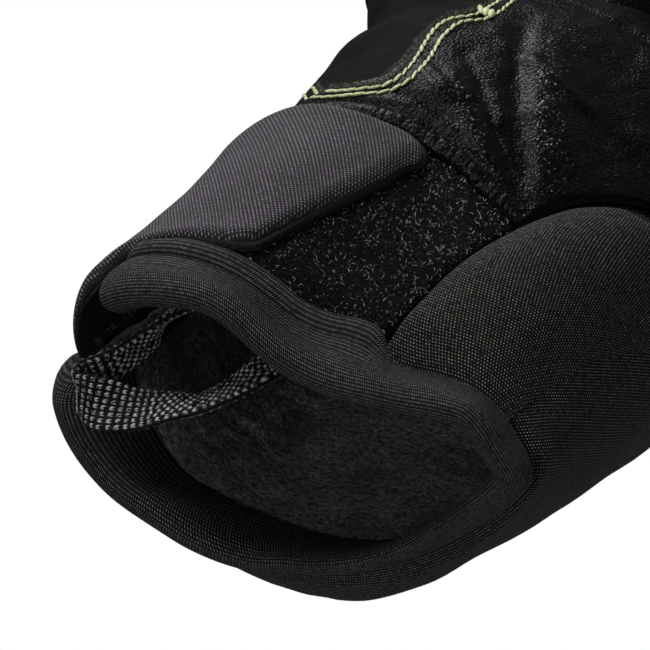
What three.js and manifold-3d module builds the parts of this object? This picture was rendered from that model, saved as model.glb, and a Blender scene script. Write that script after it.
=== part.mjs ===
// Short-cuff climbing glove for the left hand, lying on its back with the palm up.
// Millimetres. +Y runs from the wrist mouth to the fingertips, +X to the little finger, +Z up.
// Places along the glove are measured from the front of the cuff. At the end the whole glove is
// moved so that the origin is in the middle of the flat patch that it rests on.

import * as THREE from 'three';
import { mergeVertices } from 'three/addons/utils/BufferGeometryUtils.js';
import Module from 'manifold-3d';

// Walls and gaps
const SHELL_WALL = 2.2;
const LINING_WALL = 2.0;
const LEATHER_THICK = 1.3;
const GAP = 0.3;
const SKIN_GAP = 0.7;
// How far a cutting solid reaches past what it cuts, and the side of a box larger than the glove.
const CUT_PAST = 1;
const CUT_BOX = 600;

// Places along the glove
const HEM_WIDTH = 9.2;
const CUFF_START = HEM_WIDTH + GAP;
const CUFF_END = 70;
const HAND_START = CUFF_END + GAP;
const HAND_END = 160;
const FINGER_START = 138;
const REST_CENTRE = 110;

// Steps along and round the faceted skins
const CUFF_STEPS = 6;
const ROUND_STEPS = 38;
const HAND_STEPS = 9;
const HAND_ROUND_STEPS = 40;
const DIGIT_STEPS = 8;
const DIGIT_SIDES = 14;
const LOOP_STEPS = 30;

// Parts of the way round a section, counted in stations against the clock from the
// little-finger side: 3 is the middle of the palm, 6 the thumb side, 8 the middle of the back.
const STATIONS = 10;

// The hand's sections. Left and right are the sides, and the rest are heights above the surface
// that it lies on: at the sides, at five places over the palm and at three under the back.
const SECTION_COLUMNS = [
  'y', 'left', 'right', 'rightSide', 'palmA', 'palmB', 'palmC', 'palmD', 'palmE',
  'leftSide', 'backA', 'backB', 'backC',
];
const SECTIONS = [
  [0, -46, 48, 46, 55, 57, 60, 64.5, 59, 36, 17, 8.5, 24],
  [9, -44.5, 49, 45, 55, 58, 61, 64.5, 58, 37, 13, 6.5, 21],
  [30, -43.5, 50, 41, 59, 64.5, 67, 69, 57, 34, 7, 2.5, 13.5],
  [50, -45, 53, 40, 60, 66.5, 71.2, 72, 56, 32, 3, 0.8, 10.5],
  [70, -48, 55, 38, 57, 67, 73, 73.5, 58, 32, 1.8, -0.6, 7],
  [100, -52, 55, 35, 54, 65, 70.5, 71.5, 55, 29, 1, -1.2, 3],
  [125, -52, 54, 31, 49, 60, 65, 63, 48, 26, 1.2, -1.2, 2],
  [148, -50, 51, 25, 39, 48, 53, 51, 40, 23, 2.5, -1, 3],
  [160, -46, 46, 21, 31, 37, 39, 38, 30, 20, 11, 8, 11],
];
// Where the five palm heights and the three back heights stand, from -1 at the left side to 1.
const PALM_PLACES = [0.8, 0.45, 0.05, -0.4, -0.78];
const BACK_PLACES = [-0.7, 0, 0.7];

// Edge of the stretch-woven side panel, which stands up beside the pile like a rolled lip: how
// high, over how much of a turn it comes up, and how far down the side it dies away.
const PANEL_EDGE_COLUMNS = ['y', 'station'];
const PANEL_EDGE = [
  [0, 2.6],
  [11, 2.37],
  [27, 2.17],
  [44, 1.95],
  [57, 1.7],
  [75, 1.55],
];
const PANEL_RISE = 3.4;
const PANEL_RAMP = 0.14;
const PANEL_FADE = 1.3;

// The hem's cut face: place from the front edge, and distance out from the shell's outside.
const HEM_PROFILE_COLUMNS = ['y', 'grow'];
const HEM_PROFILE = [
  [HEM_WIDTH, -0.6],
  [6, 0.5],
  [2.4, 0.4],
  [0.4, -0.8],
  [0, -2.3],
  [0.6, -3.8],
  [3, -4.7],
  [HEM_WIDTH, -4.5],
];

// Slit at the thumb side, between the free end of the upper flap and the strap's root. It is
// widest at the mouth and closes to a point, and its cutter reaches into and out of the cuff.
const SLIT_TOP = 5.0;
const SLIT_BOTTOM = 5.85;
const SLIT_POINT = 5.38;
const SLIT_POINT_WIDTH = 0.02;
const SLIT_LENGTH = 52;
const SLIT_IN = 12;
const SLIT_OUT = 8;
const SLIT_STEPS = { along: 8, across: 3 };

// Fingers: root place, splay and slope in degrees, and the length from FINGER_START. A finger is
// a shell of its own from its root plane on.
const FINGER_COLUMNS = [
  'name', 'rootX', 'rootZ', 'rootPlane', 'splay', 'rise', 'curl', 'length', 'width', 'depth',
];
const FINGERS = [
  ['index', -37.6, 23.5, 160, -4, 8, 34, 98, 26.4, 25],
  ['middle', -11.6, 25, 162, -1, 9, 30, 107, 27, 26],
  ['ring', 14.2, 24.5, 160, 2, 8, 33, 101, 26.4, 25],
  ['little', 37.4, 20.5, 155, 6, 7, 38, 83, 23.6, 23],
];
// How much narrower a digit is at its tip, the part of its rings that lie before its dome, and
// the part of its width that the last ring keeps.
const DIGIT_TAPER = 0.14;
const STRAIGHT_SHARE = 0.6;
const DOME_REST = 0.12;

// Thumb: it leaves the left side of the palm and lies forwards, out and a little up. It is a
// shell of its own from THUMB_CUT along it.
const THUMB_ROOT = { x: -15, y: 98, z: 50.5 };
const THUMB = { splay: -30, rise: 9, curl: -14, length: 86, width: 29.5, depth: 29 };
const THUMB_CUT = 32;

// Loop side of the fastener: from the hem to the leather, and from the side panel's lip to the
// thumb side under the strap.
const PILE_THICK = 1.6;
const PILE_LEFT = 4.85;
const PILE_FRONT = 10.4;
const PILE_STEPS = { along: 5, across: 10 };
const PANEL_CLEARANCE = 0.2;

// Wrist edge of the palm's leather: a gathered roll, which slants across the wrist and then runs
// straight on under the strap.
const LEATHER_FRONT_COLUMNS = ['station', 'y'];
const LEATHER_FRONT = [
  [2.1, 50],
  [2.6, 54],
  [3.2, 56.8],
  [4.9, 57.5],
];
const LEATHER_CORNER = 2.1;
const LEATHER_LEFT = 4.2;
const LEATHER_HEM_WIDTH = 4.4;
const LEATHER_HEM_THICK = 2.6;
const LEATHER_HEM_STEPS = { along: 2, across: 12 };

// Side edges of the palm's leather, in stations. Beside the side panel it stops at the lip, and
// past the cuff it reaches round to the little-finger side. The first row follows the roll.
const LEATHER_EDGE_COLUMNS = ['y', 'right', 'left'];
const LEATHER_EDGES = [
  [52, 1.86, 4.15],
  [63, 1.75, 3.95],
  [69, 1.68, 3.85],
  [71.5, 0.1, 3.8],
  [90, 0.1, 3.65],
  [108, 0.1, 3.45],
  [122, 0.2, 3.75],
  [136, 0.25, 4.4],
  [150, 0.3, 4.9],
];
const LEATHER_STEPS_ACROSS = 12;

// Leather on the palm side of a finger: its start, as a length from FINGER_START, the ring
// place where it ends, and the part of a turn that it keeps clear of the finger's sides.
const FINGER_LEATHER_START = 27;
const FINGER_LEATHER_END = 0.86;
const FINGER_LEATHER_TURN = 0.06;
const FINGER_LEATHER_STEPS = { along: 6, across: 5 };

// Strap: two layers. It is sewn on below the slit, crosses it outside and lies on the pile. The
// hook layer is below and stands out all round by the lip.
const STRAP_ROOT = 6.25;
const STRAP_TIP_NEAR = 3.68;
const STRAP_TIP_FAR = 3.0;
const STRAP_FRONT_ROOT = 10;
const STRAP_FRONT_TIP = 12.5;
const STRAP_FAR_ROOT = 53.5;
const STRAP_FAR_TIP = 51.3;
const STRAP_LAYER = 1.6;
const STRAP_LIP = 0.8;
const STRAP_LIP_TURN = 0.05;
// Past the pile's edge it settles down on the cuff, over this much of a turn.
const STRAP_SETTLE_TURN = 0.5;
const STRAP_STEPS = { along: 5, across: 14 };

// Pull loop of flat webbing, sewn flat under the upper flap at both ends: its free middle line,
// and the way its width points.
const LOOP_COLUMNS = ['x', 'y', 'z', 'wideX', 'wideY', 'wideZ'];
const LOOP = [
  [-25.2, 9.5, 54.2, 1, 0.2, 0.5],
  [-29.6, 5.5, 50, 0.95, 0.2, 0.5],
  [-33.5, 2, 45.6, 0.8, 0.1, 0.7],
  [-36.2, -1.5, 42.2, 0.45, -0.1, 0.9],
  [-37, -5, 41, 0.1, -0.2, 1],
  [-32.5, -7.6, 41.6, 0, 0, 1],
  [-22, -6.3, 43.6, -0.05, 0.25, 1],
  [-12.6, -3, 46.2, -0.3, 0.6, 0.65],
  [-6.6, 1.2, 49, -0.5, 0.6, 0.35],
  [-2.4, 6.6, 51.6, -0.8, 0.4, 0.05],
];
const WEBBING_WIDTH = 9.5;
const WEBBING_THICK = 1.5;
const LOOP_FAR_STATION = 4.15;
const LOOP_NEAR_STATION = 3.1;
const LOOP_SEAT_DEEP = 24;
const LOOP_SEAT_SHALLOW = 18;
const LOOP_SEAT_GAP = 1.3;
// Small steps along and round that a direction is taken over.
const TANGENT_STEP = 0.01;
const SEAT_TURN = 0.1;

const wasm = await Module();
wasm.setup();

const ALONG = new THREE.Vector3(0, 1, 0);
const UP = new THREE.Vector3(0, 0, 1);
const lerp = THREE.MathUtils.lerp;

function table(columns, rows) {
  return rows.map((row) => Object.fromEntries(columns.map((name, i) => [name, row[i]])));
}

// Smooth curves through the columns of a table, at any place along its first column.
function curvesThrough(columns, rows) {
  const places = rows.map((row) => row[0]);
  const found = new Float64Array(columns.length);
  const spline = new THREE.CubicInterpolant(places, rows.flat(), columns.length, found);
  return (place) => {
    const values = spline.evaluate(place);
    return Object.fromEntries(columns.map((name, i) => [name, values[i]]));
  };
}

const sectionAt = curvesThrough(SECTION_COLUMNS, SECTIONS);
const panelEdgeAt = curvesThrough(PANEL_EDGE_COLUMNS, PANEL_EDGE);

// The closed curve round one section, through one point for each station.
function sectionCurve(y) {
  const section = sectionAt(y);
  const middle = (section.left + section.right) / 2;
  const half = (section.right - section.left) / 2;
  const palm = [section.palmA, section.palmB, section.palmC, section.palmD, section.palmE];
  const back = [section.backA, section.backB, section.backC];
  const points = [
    [section.right, section.rightSide],
    ...PALM_PLACES.map((place, i) => [middle + place * half, palm[i]]),
    [section.left, section.leftSide],
    ...BACK_PLACES.map((place, i) => [middle + place * half, back[i]]),
  ];
  return new THREE.CatmullRomCurve3(points.map(([x, z]) => new THREE.Vector3(x, y, z)), true);
}

const curveCache = new Map();

function curveAt(y) {
  if (!curveCache.has(y)) {
    curveCache.set(y, sectionCurve(y));
  }
  return curveCache.get(y);
}

function smoothstep(x) {
  return THREE.MathUtils.smoothstep(x, 0, 1);
}

// How far the side panel stands above the skin: highest at its edge, less down the side.
function panelRise(y, station) {
  const past = panelEdgeAt(y).station - station;
  if (past < 0 || y > CUFF_END) {
    return 0;
  }
  return PANEL_RISE * smoothstep(past / PANEL_RAMP) * Math.max(0, 1 - past / PANEL_FADE);
}

// A point on the hand's outside, moved out by grow. The back is pressed flat where it rests,
// and its wall keeps its thickness there.
function skinPoint(y, station, grow) {
  const turn = THREE.MathUtils.euclideanModulo(station / STATIONS, 1);
  const curve = curveAt(y);
  const tangent = curve.getTangent(turn);
  const outward = new THREE.Vector3(tangent.z, 0, -tangent.x);
  const point = curve.getPoint(turn).addScaledVector(outward, grow);
  point.z = Math.max(point.z, 0, -grow);
  return point;
}

function signedVolume(points, faces) {
  let volume = 0;
  for (const [a, b, c] of faces) {
    volume += points[a].dot(points[b].clone().cross(points[c])) / 6;
  }
  return volume;
}

// A closed mesh with its faces pointing out.
function closedGeometry(points, faces) {
  const inward = signedVolume(points, faces) < 0;
  const turned = faces.map(([a, b, c]) => (inward ? [a, c, b] : [a, b, c]));
  const geometry = new THREE.BufferGeometry().setFromPoints(points);
  geometry.setIndex(turned.flat());
  return geometry;
}

function quad(a, b, c, d) {
  return [[a, b, c], [a, c, d]];
}

// A wall between two skins, each a function of two numbers from 0 to 1, along and across.
// A wall that runs round has no side edges.
function wallBetween(inner, outer, stepsAlong, stepsAcross, runsRound = false) {
  const columns = runsRound ? stepsAcross : stepsAcross + 1;
  const rows = stepsAlong + 1;
  const points = [];
  for (const skin of [outer, inner]) {
    for (let i = 0; i < rows; i += 1) {
      for (let j = 0; j < columns; j += 1) {
        points.push(skin(i / stepsAlong, j / stepsAcross));
      }
    }
  }
  const out = (i, j) => i * columns + (j % columns);
  const inn = (i, j) => rows * columns + out(i, j);
  const faces = [];
  for (let j = 0; j < stepsAcross; j += 1) {
    for (let i = 0; i < stepsAlong; i += 1) {
      faces.push(...quad(out(i, j), out(i, j + 1), out(i + 1, j + 1), out(i + 1, j)));
      faces.push(...quad(inn(i, j), inn(i + 1, j), inn(i + 1, j + 1), inn(i, j + 1)));
    }
    const end = rows - 1;
    faces.push(...quad(out(0, j), inn(0, j), inn(0, j + 1), out(0, j + 1)));
    faces.push(...quad(out(end, j), out(end, j + 1), inn(end, j + 1), inn(end, j)));
  }
  if (!runsRound) {
    for (let i = 0; i < stepsAlong; i += 1) {
      faces.push(...quad(out(i, 0), out(i + 1, 0), inn(i + 1, 0), inn(i, 0)));
      const last = columns - 1;
      faces.push(...quad(out(i, last), inn(i, last), inn(i + 1, last), out(i + 1, last)));
    }
  }
  return closedGeometry(points, faces);
}

// A solid body through rings, closed by a point in the middle of its first and last ring.
function bodyThrough(ringPoint, stepsAlong, stepsRound) {
  const points = [];
  for (let i = 0; i <= stepsAlong; i += 1) {
    for (let j = 0; j < stepsRound; j += 1) {
      points.push(ringPoint(i / stepsAlong, j / stepsRound));
    }
  }
  const ringMiddle = (i) => {
    const ring = points.slice(i * stepsRound, (i + 1) * stepsRound);
    return ring.reduce((sum, point) => sum.add(point), new THREE.Vector3()).divideScalar(stepsRound);
  };
  const start = points.push(ringMiddle(0)) - 1;
  const end = points.push(ringMiddle(stepsAlong)) - 1;
  const at = (i, j) => i * stepsRound + (j % stepsRound);
  const faces = [];
  for (let j = 0; j < stepsRound; j += 1) {
    for (let i = 0; i < stepsAlong; i += 1) {
      faces.push(...quad(at(i, j), at(i, j + 1), at(i + 1, j + 1), at(i + 1, j)));
    }
    faces.push([start, at(0, j + 1), at(0, j)]);
    faces.push([end, at(stepsAlong, j), at(stepsAlong, j + 1)]);
  }
  return closedGeometry(points, faces);
}

function solidOf(geometry) {
  const bare = geometry.clone();
  bare.deleteAttribute('normal');
  bare.deleteAttribute('uv');
  const merged = mergeVertices(bare);
  return new wasm.Manifold(new wasm.Mesh({
    numProp: 3,
    vertProperties: new Float32Array(merged.attributes.position.array),
    triVerts: new Uint32Array(merged.index.array),
  }));
}

function geometryOf(solid) {
  const mesh = solid.getMesh();
  const geometry = new THREE.BufferGeometry();
  geometry.setAttribute('position', new THREE.BufferAttribute(mesh.vertProperties, 3));
  geometry.setIndex(new THREE.BufferAttribute(mesh.triVerts, 1));
  return geometry;
}

function joined(solids) {
  return solids.reduce((sum, solid) => sum.add(solid));
}

// Everything past a plane, seen along the plane's direction.
function halfSpace(point, direction) {
  const box = new THREE.BoxGeometry(CUT_BOX, CUT_BOX, CUT_BOX);
  box.translate(0, 0, CUT_BOX / 2);
  const turn = new THREE.Quaternion().setFromUnitVectors(new THREE.Vector3(0, 0, 1), direction);
  box.applyQuaternion(turn);
  box.translate(point.x, point.y, point.z);
  return solidOf(box);
}

// Cuff: shell, lining and hem, all cut by the slit at the thumb side.
function slitSolid() {
  const from = (v) => lerp(SLIT_TOP, SLIT_POINT, v);
  const to = (v) => lerp(SLIT_BOTTOM, SLIT_POINT + SLIT_POINT_WIDTH, v);
  const skin = (grow) => (v, u) => {
    const y = lerp(-HEM_WIDTH, SLIT_LENGTH, v);
    const point = skinPoint(Math.max(y, 0), lerp(from(v), to(v), u), grow);
    point.y = y;
    return point;
  };
  const { along, across } = SLIT_STEPS;
  return solidOf(wallBetween(skin(-SLIT_IN), skin(SLIT_OUT), along, across));
}

const slit = slitSolid();

function cuffShell() {
  const y = (v) => lerp(CUFF_START, CUFF_END, v);
  const outer = (v, u) => {
    const station = u * STATIONS;
    return skinPoint(y(v), station, panelRise(y(v), station));
  };
  const inner = (v, u) => skinPoint(y(v), u * STATIONS, -SHELL_WALL);
  const tube = solidOf(wallBetween(inner, outer, CUFF_STEPS, ROUND_STEPS, true));
  return geometryOf(tube.subtract(slit));
}

function cuffLining() {
  const y = (v) => lerp(CUFF_START, CUFF_END, v);
  const outer = (v, u) => skinPoint(y(v), u * STATIONS, -SHELL_WALL - GAP);
  const inner = (v, u) => skinPoint(y(v), u * STATIONS, -SHELL_WALL - GAP - LINING_WALL);
  const tube = solidOf(wallBetween(inner, outer, CUFF_STEPS, ROUND_STEPS, true));
  return geometryOf(tube.subtract(slit));
}

// A rounded band folded over the front of the shell and the lining.
function cuffHem() {
  const profile = table(HEM_PROFILE_COLUMNS, HEM_PROFILE);
  const count = profile.length;
  const points = [];
  for (let j = 0; j < ROUND_STEPS; j += 1) {
    for (const { y, grow } of profile) {
      points.push(skinPoint(y, (j / ROUND_STEPS) * STATIONS, grow));
    }
  }
  const at = (j, k) => (j % ROUND_STEPS) * count + (k % count);
  const faces = [];
  for (let j = 0; j < ROUND_STEPS; j += 1) {
    for (let k = 0; k < count; k += 1) {
      faces.push(...quad(at(j, k), at(j + 1, k), at(j + 1, k + 1), at(j, k + 1)));
    }
  }
  return geometryOf(solidOf(closedGeometry(points, faces)).subtract(slit));
}

// Fingers and thumb: a curved middle line, with round sections that close in a dome.
function digitLine(root, digit, s) {
  const splay = THREE.MathUtils.degToRad(digit.splay);
  const rise = THREE.MathUtils.degToRad(digit.rise);
  const bend = THREE.MathUtils.degToRad(digit.curl) / digit.length;
  const forward = (Math.sin(rise + bend * s) - Math.sin(rise)) / bend;
  const up = (Math.cos(rise) - Math.cos(rise + bend * s)) / bend;
  const ahead = new THREE.Vector3(Math.sin(splay), Math.cos(splay), 0);
  const side = new THREE.Vector3(Math.cos(splay), -Math.sin(splay), 0);
  const slope = rise + bend * s;
  const direction = ahead.clone().multiplyScalar(Math.cos(slope)).addScaledVector(UP, Math.sin(slope));
  const point = root.clone().addScaledVector(ahead, forward).addScaledVector(UP, up);
  return { point, side, direction, top: new THREE.Vector3().crossVectors(side, direction) };
}

function domeFactor(s, length, dome) {
  const past = Math.max(0, (s - (length - dome)) / dome);
  return Math.sqrt(Math.max(0, 1 - past * past));
}

// Length from the root at a part v of the way through the rings, which are closer in the dome.
function ringLength(v, length, dome) {
  const straight = length - dome;
  if (v < STRAIGHT_SHARE) {
    return (v / STRAIGHT_SHARE) * straight;
  }
  const turn = ((v - STRAIGHT_SHARE) / (1 - STRAIGHT_SHARE)) * (Math.PI / 2);
  return straight + Math.sin(turn) * dome;
}

function digitPoint(root, digit, v, angle, grow) {
  const length = digit.length + grow;
  const dome = digit.width / 2 + grow;
  const s = ringLength(v, length, dome);
  const frame = digitLine(root, digit, s);
  const close = Math.max(domeFactor(s, length, dome), DOME_REST);
  const taper = 1 - DIGIT_TAPER * (s / digit.length);
  const wide = ((digit.width / 2) * taper + grow) * close;
  const deep = ((digit.depth / 2) * taper + grow) * close;
  return frame.point
    .addScaledVector(frame.side, Math.cos(angle) * wide)
    .addScaledVector(frame.top, Math.sin(angle) * deep);
}

function digitSolid(root, digit, grow) {
  const point = (v, u) => digitPoint(root, digit, v, u * 2 * Math.PI, grow);
  return solidOf(bodyThrough(point, DIGIT_STEPS, DIGIT_SIDES));
}

const fingers = table(FINGER_COLUMNS, FINGERS).map((finger) => {
  const root = new THREE.Vector3(finger.rootX, FINGER_START, finger.rootZ);
  return {
    ...finger,
    root,
    outer: digitSolid(root, finger, 0),
    inner: digitSolid(root, finger, -SHELL_WALL),
  };
});

const thumbRoot = new THREE.Vector3(THUMB_ROOT.x, THUMB_ROOT.y, THUMB_ROOT.z);
const thumbOuter = digitSolid(thumbRoot, THUMB, 0);
const thumbInner = digitSolid(thumbRoot, THUMB, -SHELL_WALL);
const thumbCut = digitLine(thumbRoot, THUMB, THUMB_CUT);

function handSolid(grow, start, end) {
  const point = (v, u) => skinPoint(lerp(start, end, v), u * STATIONS, grow);
  return solidOf(bodyThrough(point, HAND_STEPS, HAND_ROUND_STEPS));
}

function handShell() {
  const outerHand = handSolid(0, HAND_START, HAND_END);
  const innerHand = handSolid(-SHELL_WALL, HAND_START - CUT_PAST, HAND_END - SHELL_WALL);
  const fingerStubs = fingers.map((finger) => {
    const plane = new THREE.Vector3(0, finger.rootPlane, 0);
    return finger.outer.subtract(halfSpace(plane, ALONG));
  });
  const thumbStub = thumbOuter.subtract(halfSpace(thumbCut.point, thumbCut.direction));
  const behind = halfSpace(new THREE.Vector3(0, HAND_START, 0), ALONG.clone().negate());
  const outside = joined([outerHand, ...fingerStubs, thumbStub]).subtract(behind);
  const hollow = joined([innerHand, ...fingers.map((finger) => finger.inner), thumbInner]);
  return geometryOf(outside.subtract(hollow));
}

const handClearance = handSolid(GAP, HAND_START, HAND_END + GAP);

function fingerShell(finger) {
  const plane = new THREE.Vector3(0, finger.rootPlane + GAP, 0);
  const shell = finger.outer.subtract(finger.inner).intersect(halfSpace(plane, ALONG));
  return geometryOf(shell.subtract(handClearance));
}

function thumbShell() {
  const cut = thumbCut.point.clone().addScaledVector(thumbCut.direction, GAP);
  const shell = thumbOuter.subtract(thumbInner).intersect(halfSpace(cut, thumbCut.direction));
  return geometryOf(shell.subtract(handClearance));
}

// Flat pieces sewn on the outside. Each lies between two heights above the skin, and its four
// edges are given by functions of the part of the way along the opposite pair.
function patch({ front, far, right, left, low, high, steps }) {
  const skin = (height) => (v, u) => {
    const station = lerp(right(v), left(v), u);
    return skinPoint(lerp(front(u), far(u), v), station, height);
  };
  return wallBetween(skin(low), skin(high), steps.along, steps.across);
}

// Middle line of the gathered roll.
const leatherFrontAt = curvesThrough(LEATHER_FRONT_COLUMNS, LEATHER_FRONT);

function leatherFront(station) {
  return leatherFrontAt(station).y;
}

function pilePatch() {
  const front = () => PILE_FRONT;
  const far = (u) => leatherFront(lerp(LEATHER_CORNER, PILE_LEFT, u)) - LEATHER_HEM_WIDTH / 2 - GAP;
  return patch({
    front,
    far,
    right: (v) => panelEdgeAt(lerp(front(0), far(0), v)).station + PANEL_CLEARANCE,
    left: () => PILE_LEFT,
    low: SKIN_GAP,
    high: SKIN_GAP + PILE_THICK,
    steps: PILE_STEPS,
  });
}

function leatherHem() {
  const middle = (u) => leatherFront(lerp(LEATHER_CORNER, LEATHER_LEFT, u));
  return patch({
    front: (u) => middle(u) - LEATHER_HEM_WIDTH / 2,
    far: (u) => middle(u) + LEATHER_HEM_WIDTH / 2,
    right: () => LEATHER_CORNER,
    left: () => LEATHER_LEFT,
    low: SKIN_GAP,
    high: SKIN_GAP + LEATHER_HEM_THICK,
    steps: LEATHER_HEM_STEPS,
  });
}

function cuffClearance() {
  const point = (v, u) => {
    const y = lerp(CUFF_START, CUFF_END, v);
    const station = u * STATIONS;
    return skinPoint(y, station, panelRise(y, station) + GAP);
  };
  return solidOf(bodyThrough(point, CUFF_STEPS, ROUND_STEPS));
}

// Leather over the palm, fitted round what lies under it. Its first row runs along the roll.
function leatherPalm() {
  const edges = table(LEATHER_EDGE_COLUMNS, LEATHER_EDGES);
  const last = edges.length - 1;
  const skin = (height) => (v, u) => {
    const row = Math.round(v * last);
    const station = lerp(edges[row].right, edges[row].left, u);
    const y = row === 0 ? leatherFront(station) + LEATHER_HEM_WIDTH / 2 + GAP : edges[row].y;
    return skinPoint(y, station, height);
  };
  const sheet = solidOf(wallBetween(skin(0), skin(GAP + LEATHER_THICK), last, LEATHER_STEPS_ACROSS));
  const roots = fingers.map((finger) => digitSolid(finger.root, finger, GAP));
  const beneath = joined([cuffClearance(), handClearance, digitSolid(thumbRoot, THUMB, GAP), ...roots]);
  return geometryOf(sheet.subtract(beneath));
}

function strapLayer(low, high, margin) {
  const tip = (v) => lerp(STRAP_TIP_NEAR, STRAP_TIP_FAR, v) + margin * STRAP_LIP_TURN;
  const front = (u) => lerp(STRAP_FRONT_TIP, STRAP_FRONT_ROOT, Math.sqrt(u)) + margin;
  const far = (u) => lerp(STRAP_FAR_TIP, STRAP_FAR_ROOT, u) - margin;
  const skin = (height) => (v, u) => {
    const station = lerp(tip(v), STRAP_ROOT, u);
    const settled = smoothstep((station - PILE_LEFT) / STRAP_SETTLE_TURN);
    return skinPoint(lerp(front(u), far(u), v), station, height - PILE_THICK * settled);
  };
  return wallBetween(skin(low), skin(high), STRAP_STEPS.along, STRAP_STEPS.across);
}

function fingerLeather(finger) {
  const straight = finger.length - finger.width / 2;
  const start = STRAIGHT_SHARE * (FINGER_LEATHER_START / straight);
  const skin = (height) => (v, u) => {
    const place = lerp(start, FINGER_LEATHER_END, v);
    const turn = lerp(FINGER_LEATHER_TURN, 0.5 - FINGER_LEATHER_TURN, u);
    return digitPoint(finger.root, finger, place, turn * 2 * Math.PI, height);
  };
  const { along, across } = FINGER_LEATHER_STEPS;
  return wallBetween(skin(SKIN_GAP), skin(SKIN_GAP + LEATHER_THICK), along, across);
}

// A row of the loop's table where it is sewn down, under the lining.
function loopSeat(y, station, side) {
  const depth = SHELL_WALL + GAP + LINING_WALL + LOOP_SEAT_GAP + WEBBING_THICK / 2;
  const point = skinPoint(y, station, -depth);
  const before = skinPoint(y, station - SEAT_TURN * side, -depth);
  const wide = before.sub(skinPoint(y, station + SEAT_TURN * side, -depth)).normalize();
  return [...point.toArray(), ...wide.toArray()];
}

function pullLoop() {
  const rows = [
    loopSeat(LOOP_SEAT_DEEP, LOOP_FAR_STATION, 1),
    loopSeat(LOOP_SEAT_SHALLOW, LOOP_FAR_STATION, 1),
    ...LOOP,
    loopSeat(LOOP_SEAT_SHALLOW, LOOP_NEAR_STATION, -1),
    loopSeat(LOOP_SEAT_DEEP, LOOP_NEAR_STATION, -1),
  ];
  const last = rows.length - 1;
  const rowAt = curvesThrough(['row', ...LOOP_COLUMNS], rows.map((row, i) => [i, ...row]));
  const line = (place) => {
    const { x, y, z } = rowAt(place);
    return new THREE.Vector3(x, y, z);
  };
  const skin = (height) => (v, u) => {
    const place = v * last;
    const ahead = line(Math.min(place + TANGENT_STEP, last));
    const tangent = ahead.sub(line(Math.max(place - TANGENT_STEP, 0))).normalize();
    const { wideX, wideY, wideZ } = rowAt(place);
    const wide = new THREE.Vector3(wideX, wideY, wideZ);
    wide.addScaledVector(tangent, -wide.dot(tangent)).normalize();
    const flat = new THREE.Vector3().crossVectors(tangent, wide);
    return line(place).addScaledVector(wide, (u - 0.5) * WEBBING_WIDTH).addScaledVector(flat, height);
  };
  return wallBetween(skin(-WEBBING_THICK / 2), skin(WEBBING_THICK / 2), LOOP_STEPS, 2);
}

const material = (color, roughness) => new THREE.MeshStandardMaterial({ color, roughness, metalness: 0 });
const STRETCH_WEAVE = material(0x2b2b2c, 0.85);
const HEM_KNIT = material(0x2d292c, 0.88);
const LEATHER = material(0x1c1a1b, 0.45);
const FLEECE = material(0x1a181a, 0.98);
const PILE = material(0x101010, 0.9);
const STRAP_KNIT = material(0x3b353d, 0.8);
const WEBBING = material(0x3a3a38, 0.75);
const SUEDE = material(0x151415, 0.9);

const glove = new THREE.Group();
glove.position.set(0, -REST_CENTRE, 0);

function addPiece(name, geometry, finish) {
  const mesh = new THREE.Mesh(geometry, finish);
  mesh.name = name;
  glove.add(mesh);
}

addPiece('cuff_shell', cuffShell(), STRETCH_WEAVE);
addPiece('cuff_hem', cuffHem(), HEM_KNIT);
addPiece('cuff_lining', cuffLining(), FLEECE);
addPiece('hand_shell', handShell(), STRETCH_WEAVE);
for (const finger of fingers) {
  addPiece(`finger_${finger.name}`, fingerShell(finger), STRETCH_WEAVE);
}
addPiece('thumb', thumbShell(), SUEDE);
addPiece('leather_palm', leatherPalm(), LEATHER);
addPiece('leather_hem', leatherHem(), LEATHER);
for (const finger of fingers) {
  addPiece(`leather_${finger.name}`, fingerLeather(finger), LEATHER);
}
addPiece('pile_patch', pilePatch(), PILE);
const hookTop = SKIN_GAP + PILE_THICK + GAP + STRAP_LAYER;
addPiece('strap_hook', strapLayer(hookTop - STRAP_LAYER, hookTop, 0), STRAP_KNIT);
addPiece('closure_strap', strapLayer(hookTop + GAP, hookTop + GAP + STRAP_LAYER, STRAP_LIP), STRAP_KNIT);
addPiece('pull_loop', pullLoop(), WEBBING);

export default glove;
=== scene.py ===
# Short-cuff climbing glove for the left hand, lying on its back with the palm up. The wrist
# mouth faces -Y, the little finger is on +X, and the origin is the middle of the flat patch
# that the glove rests on. Cloth is laid out in mm from the front of the cuff and placed in metres.
import math

import bmesh
import bpy
import numpy as np
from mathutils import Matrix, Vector, noise
from mathutils.bvhtree import BVHTree


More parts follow.
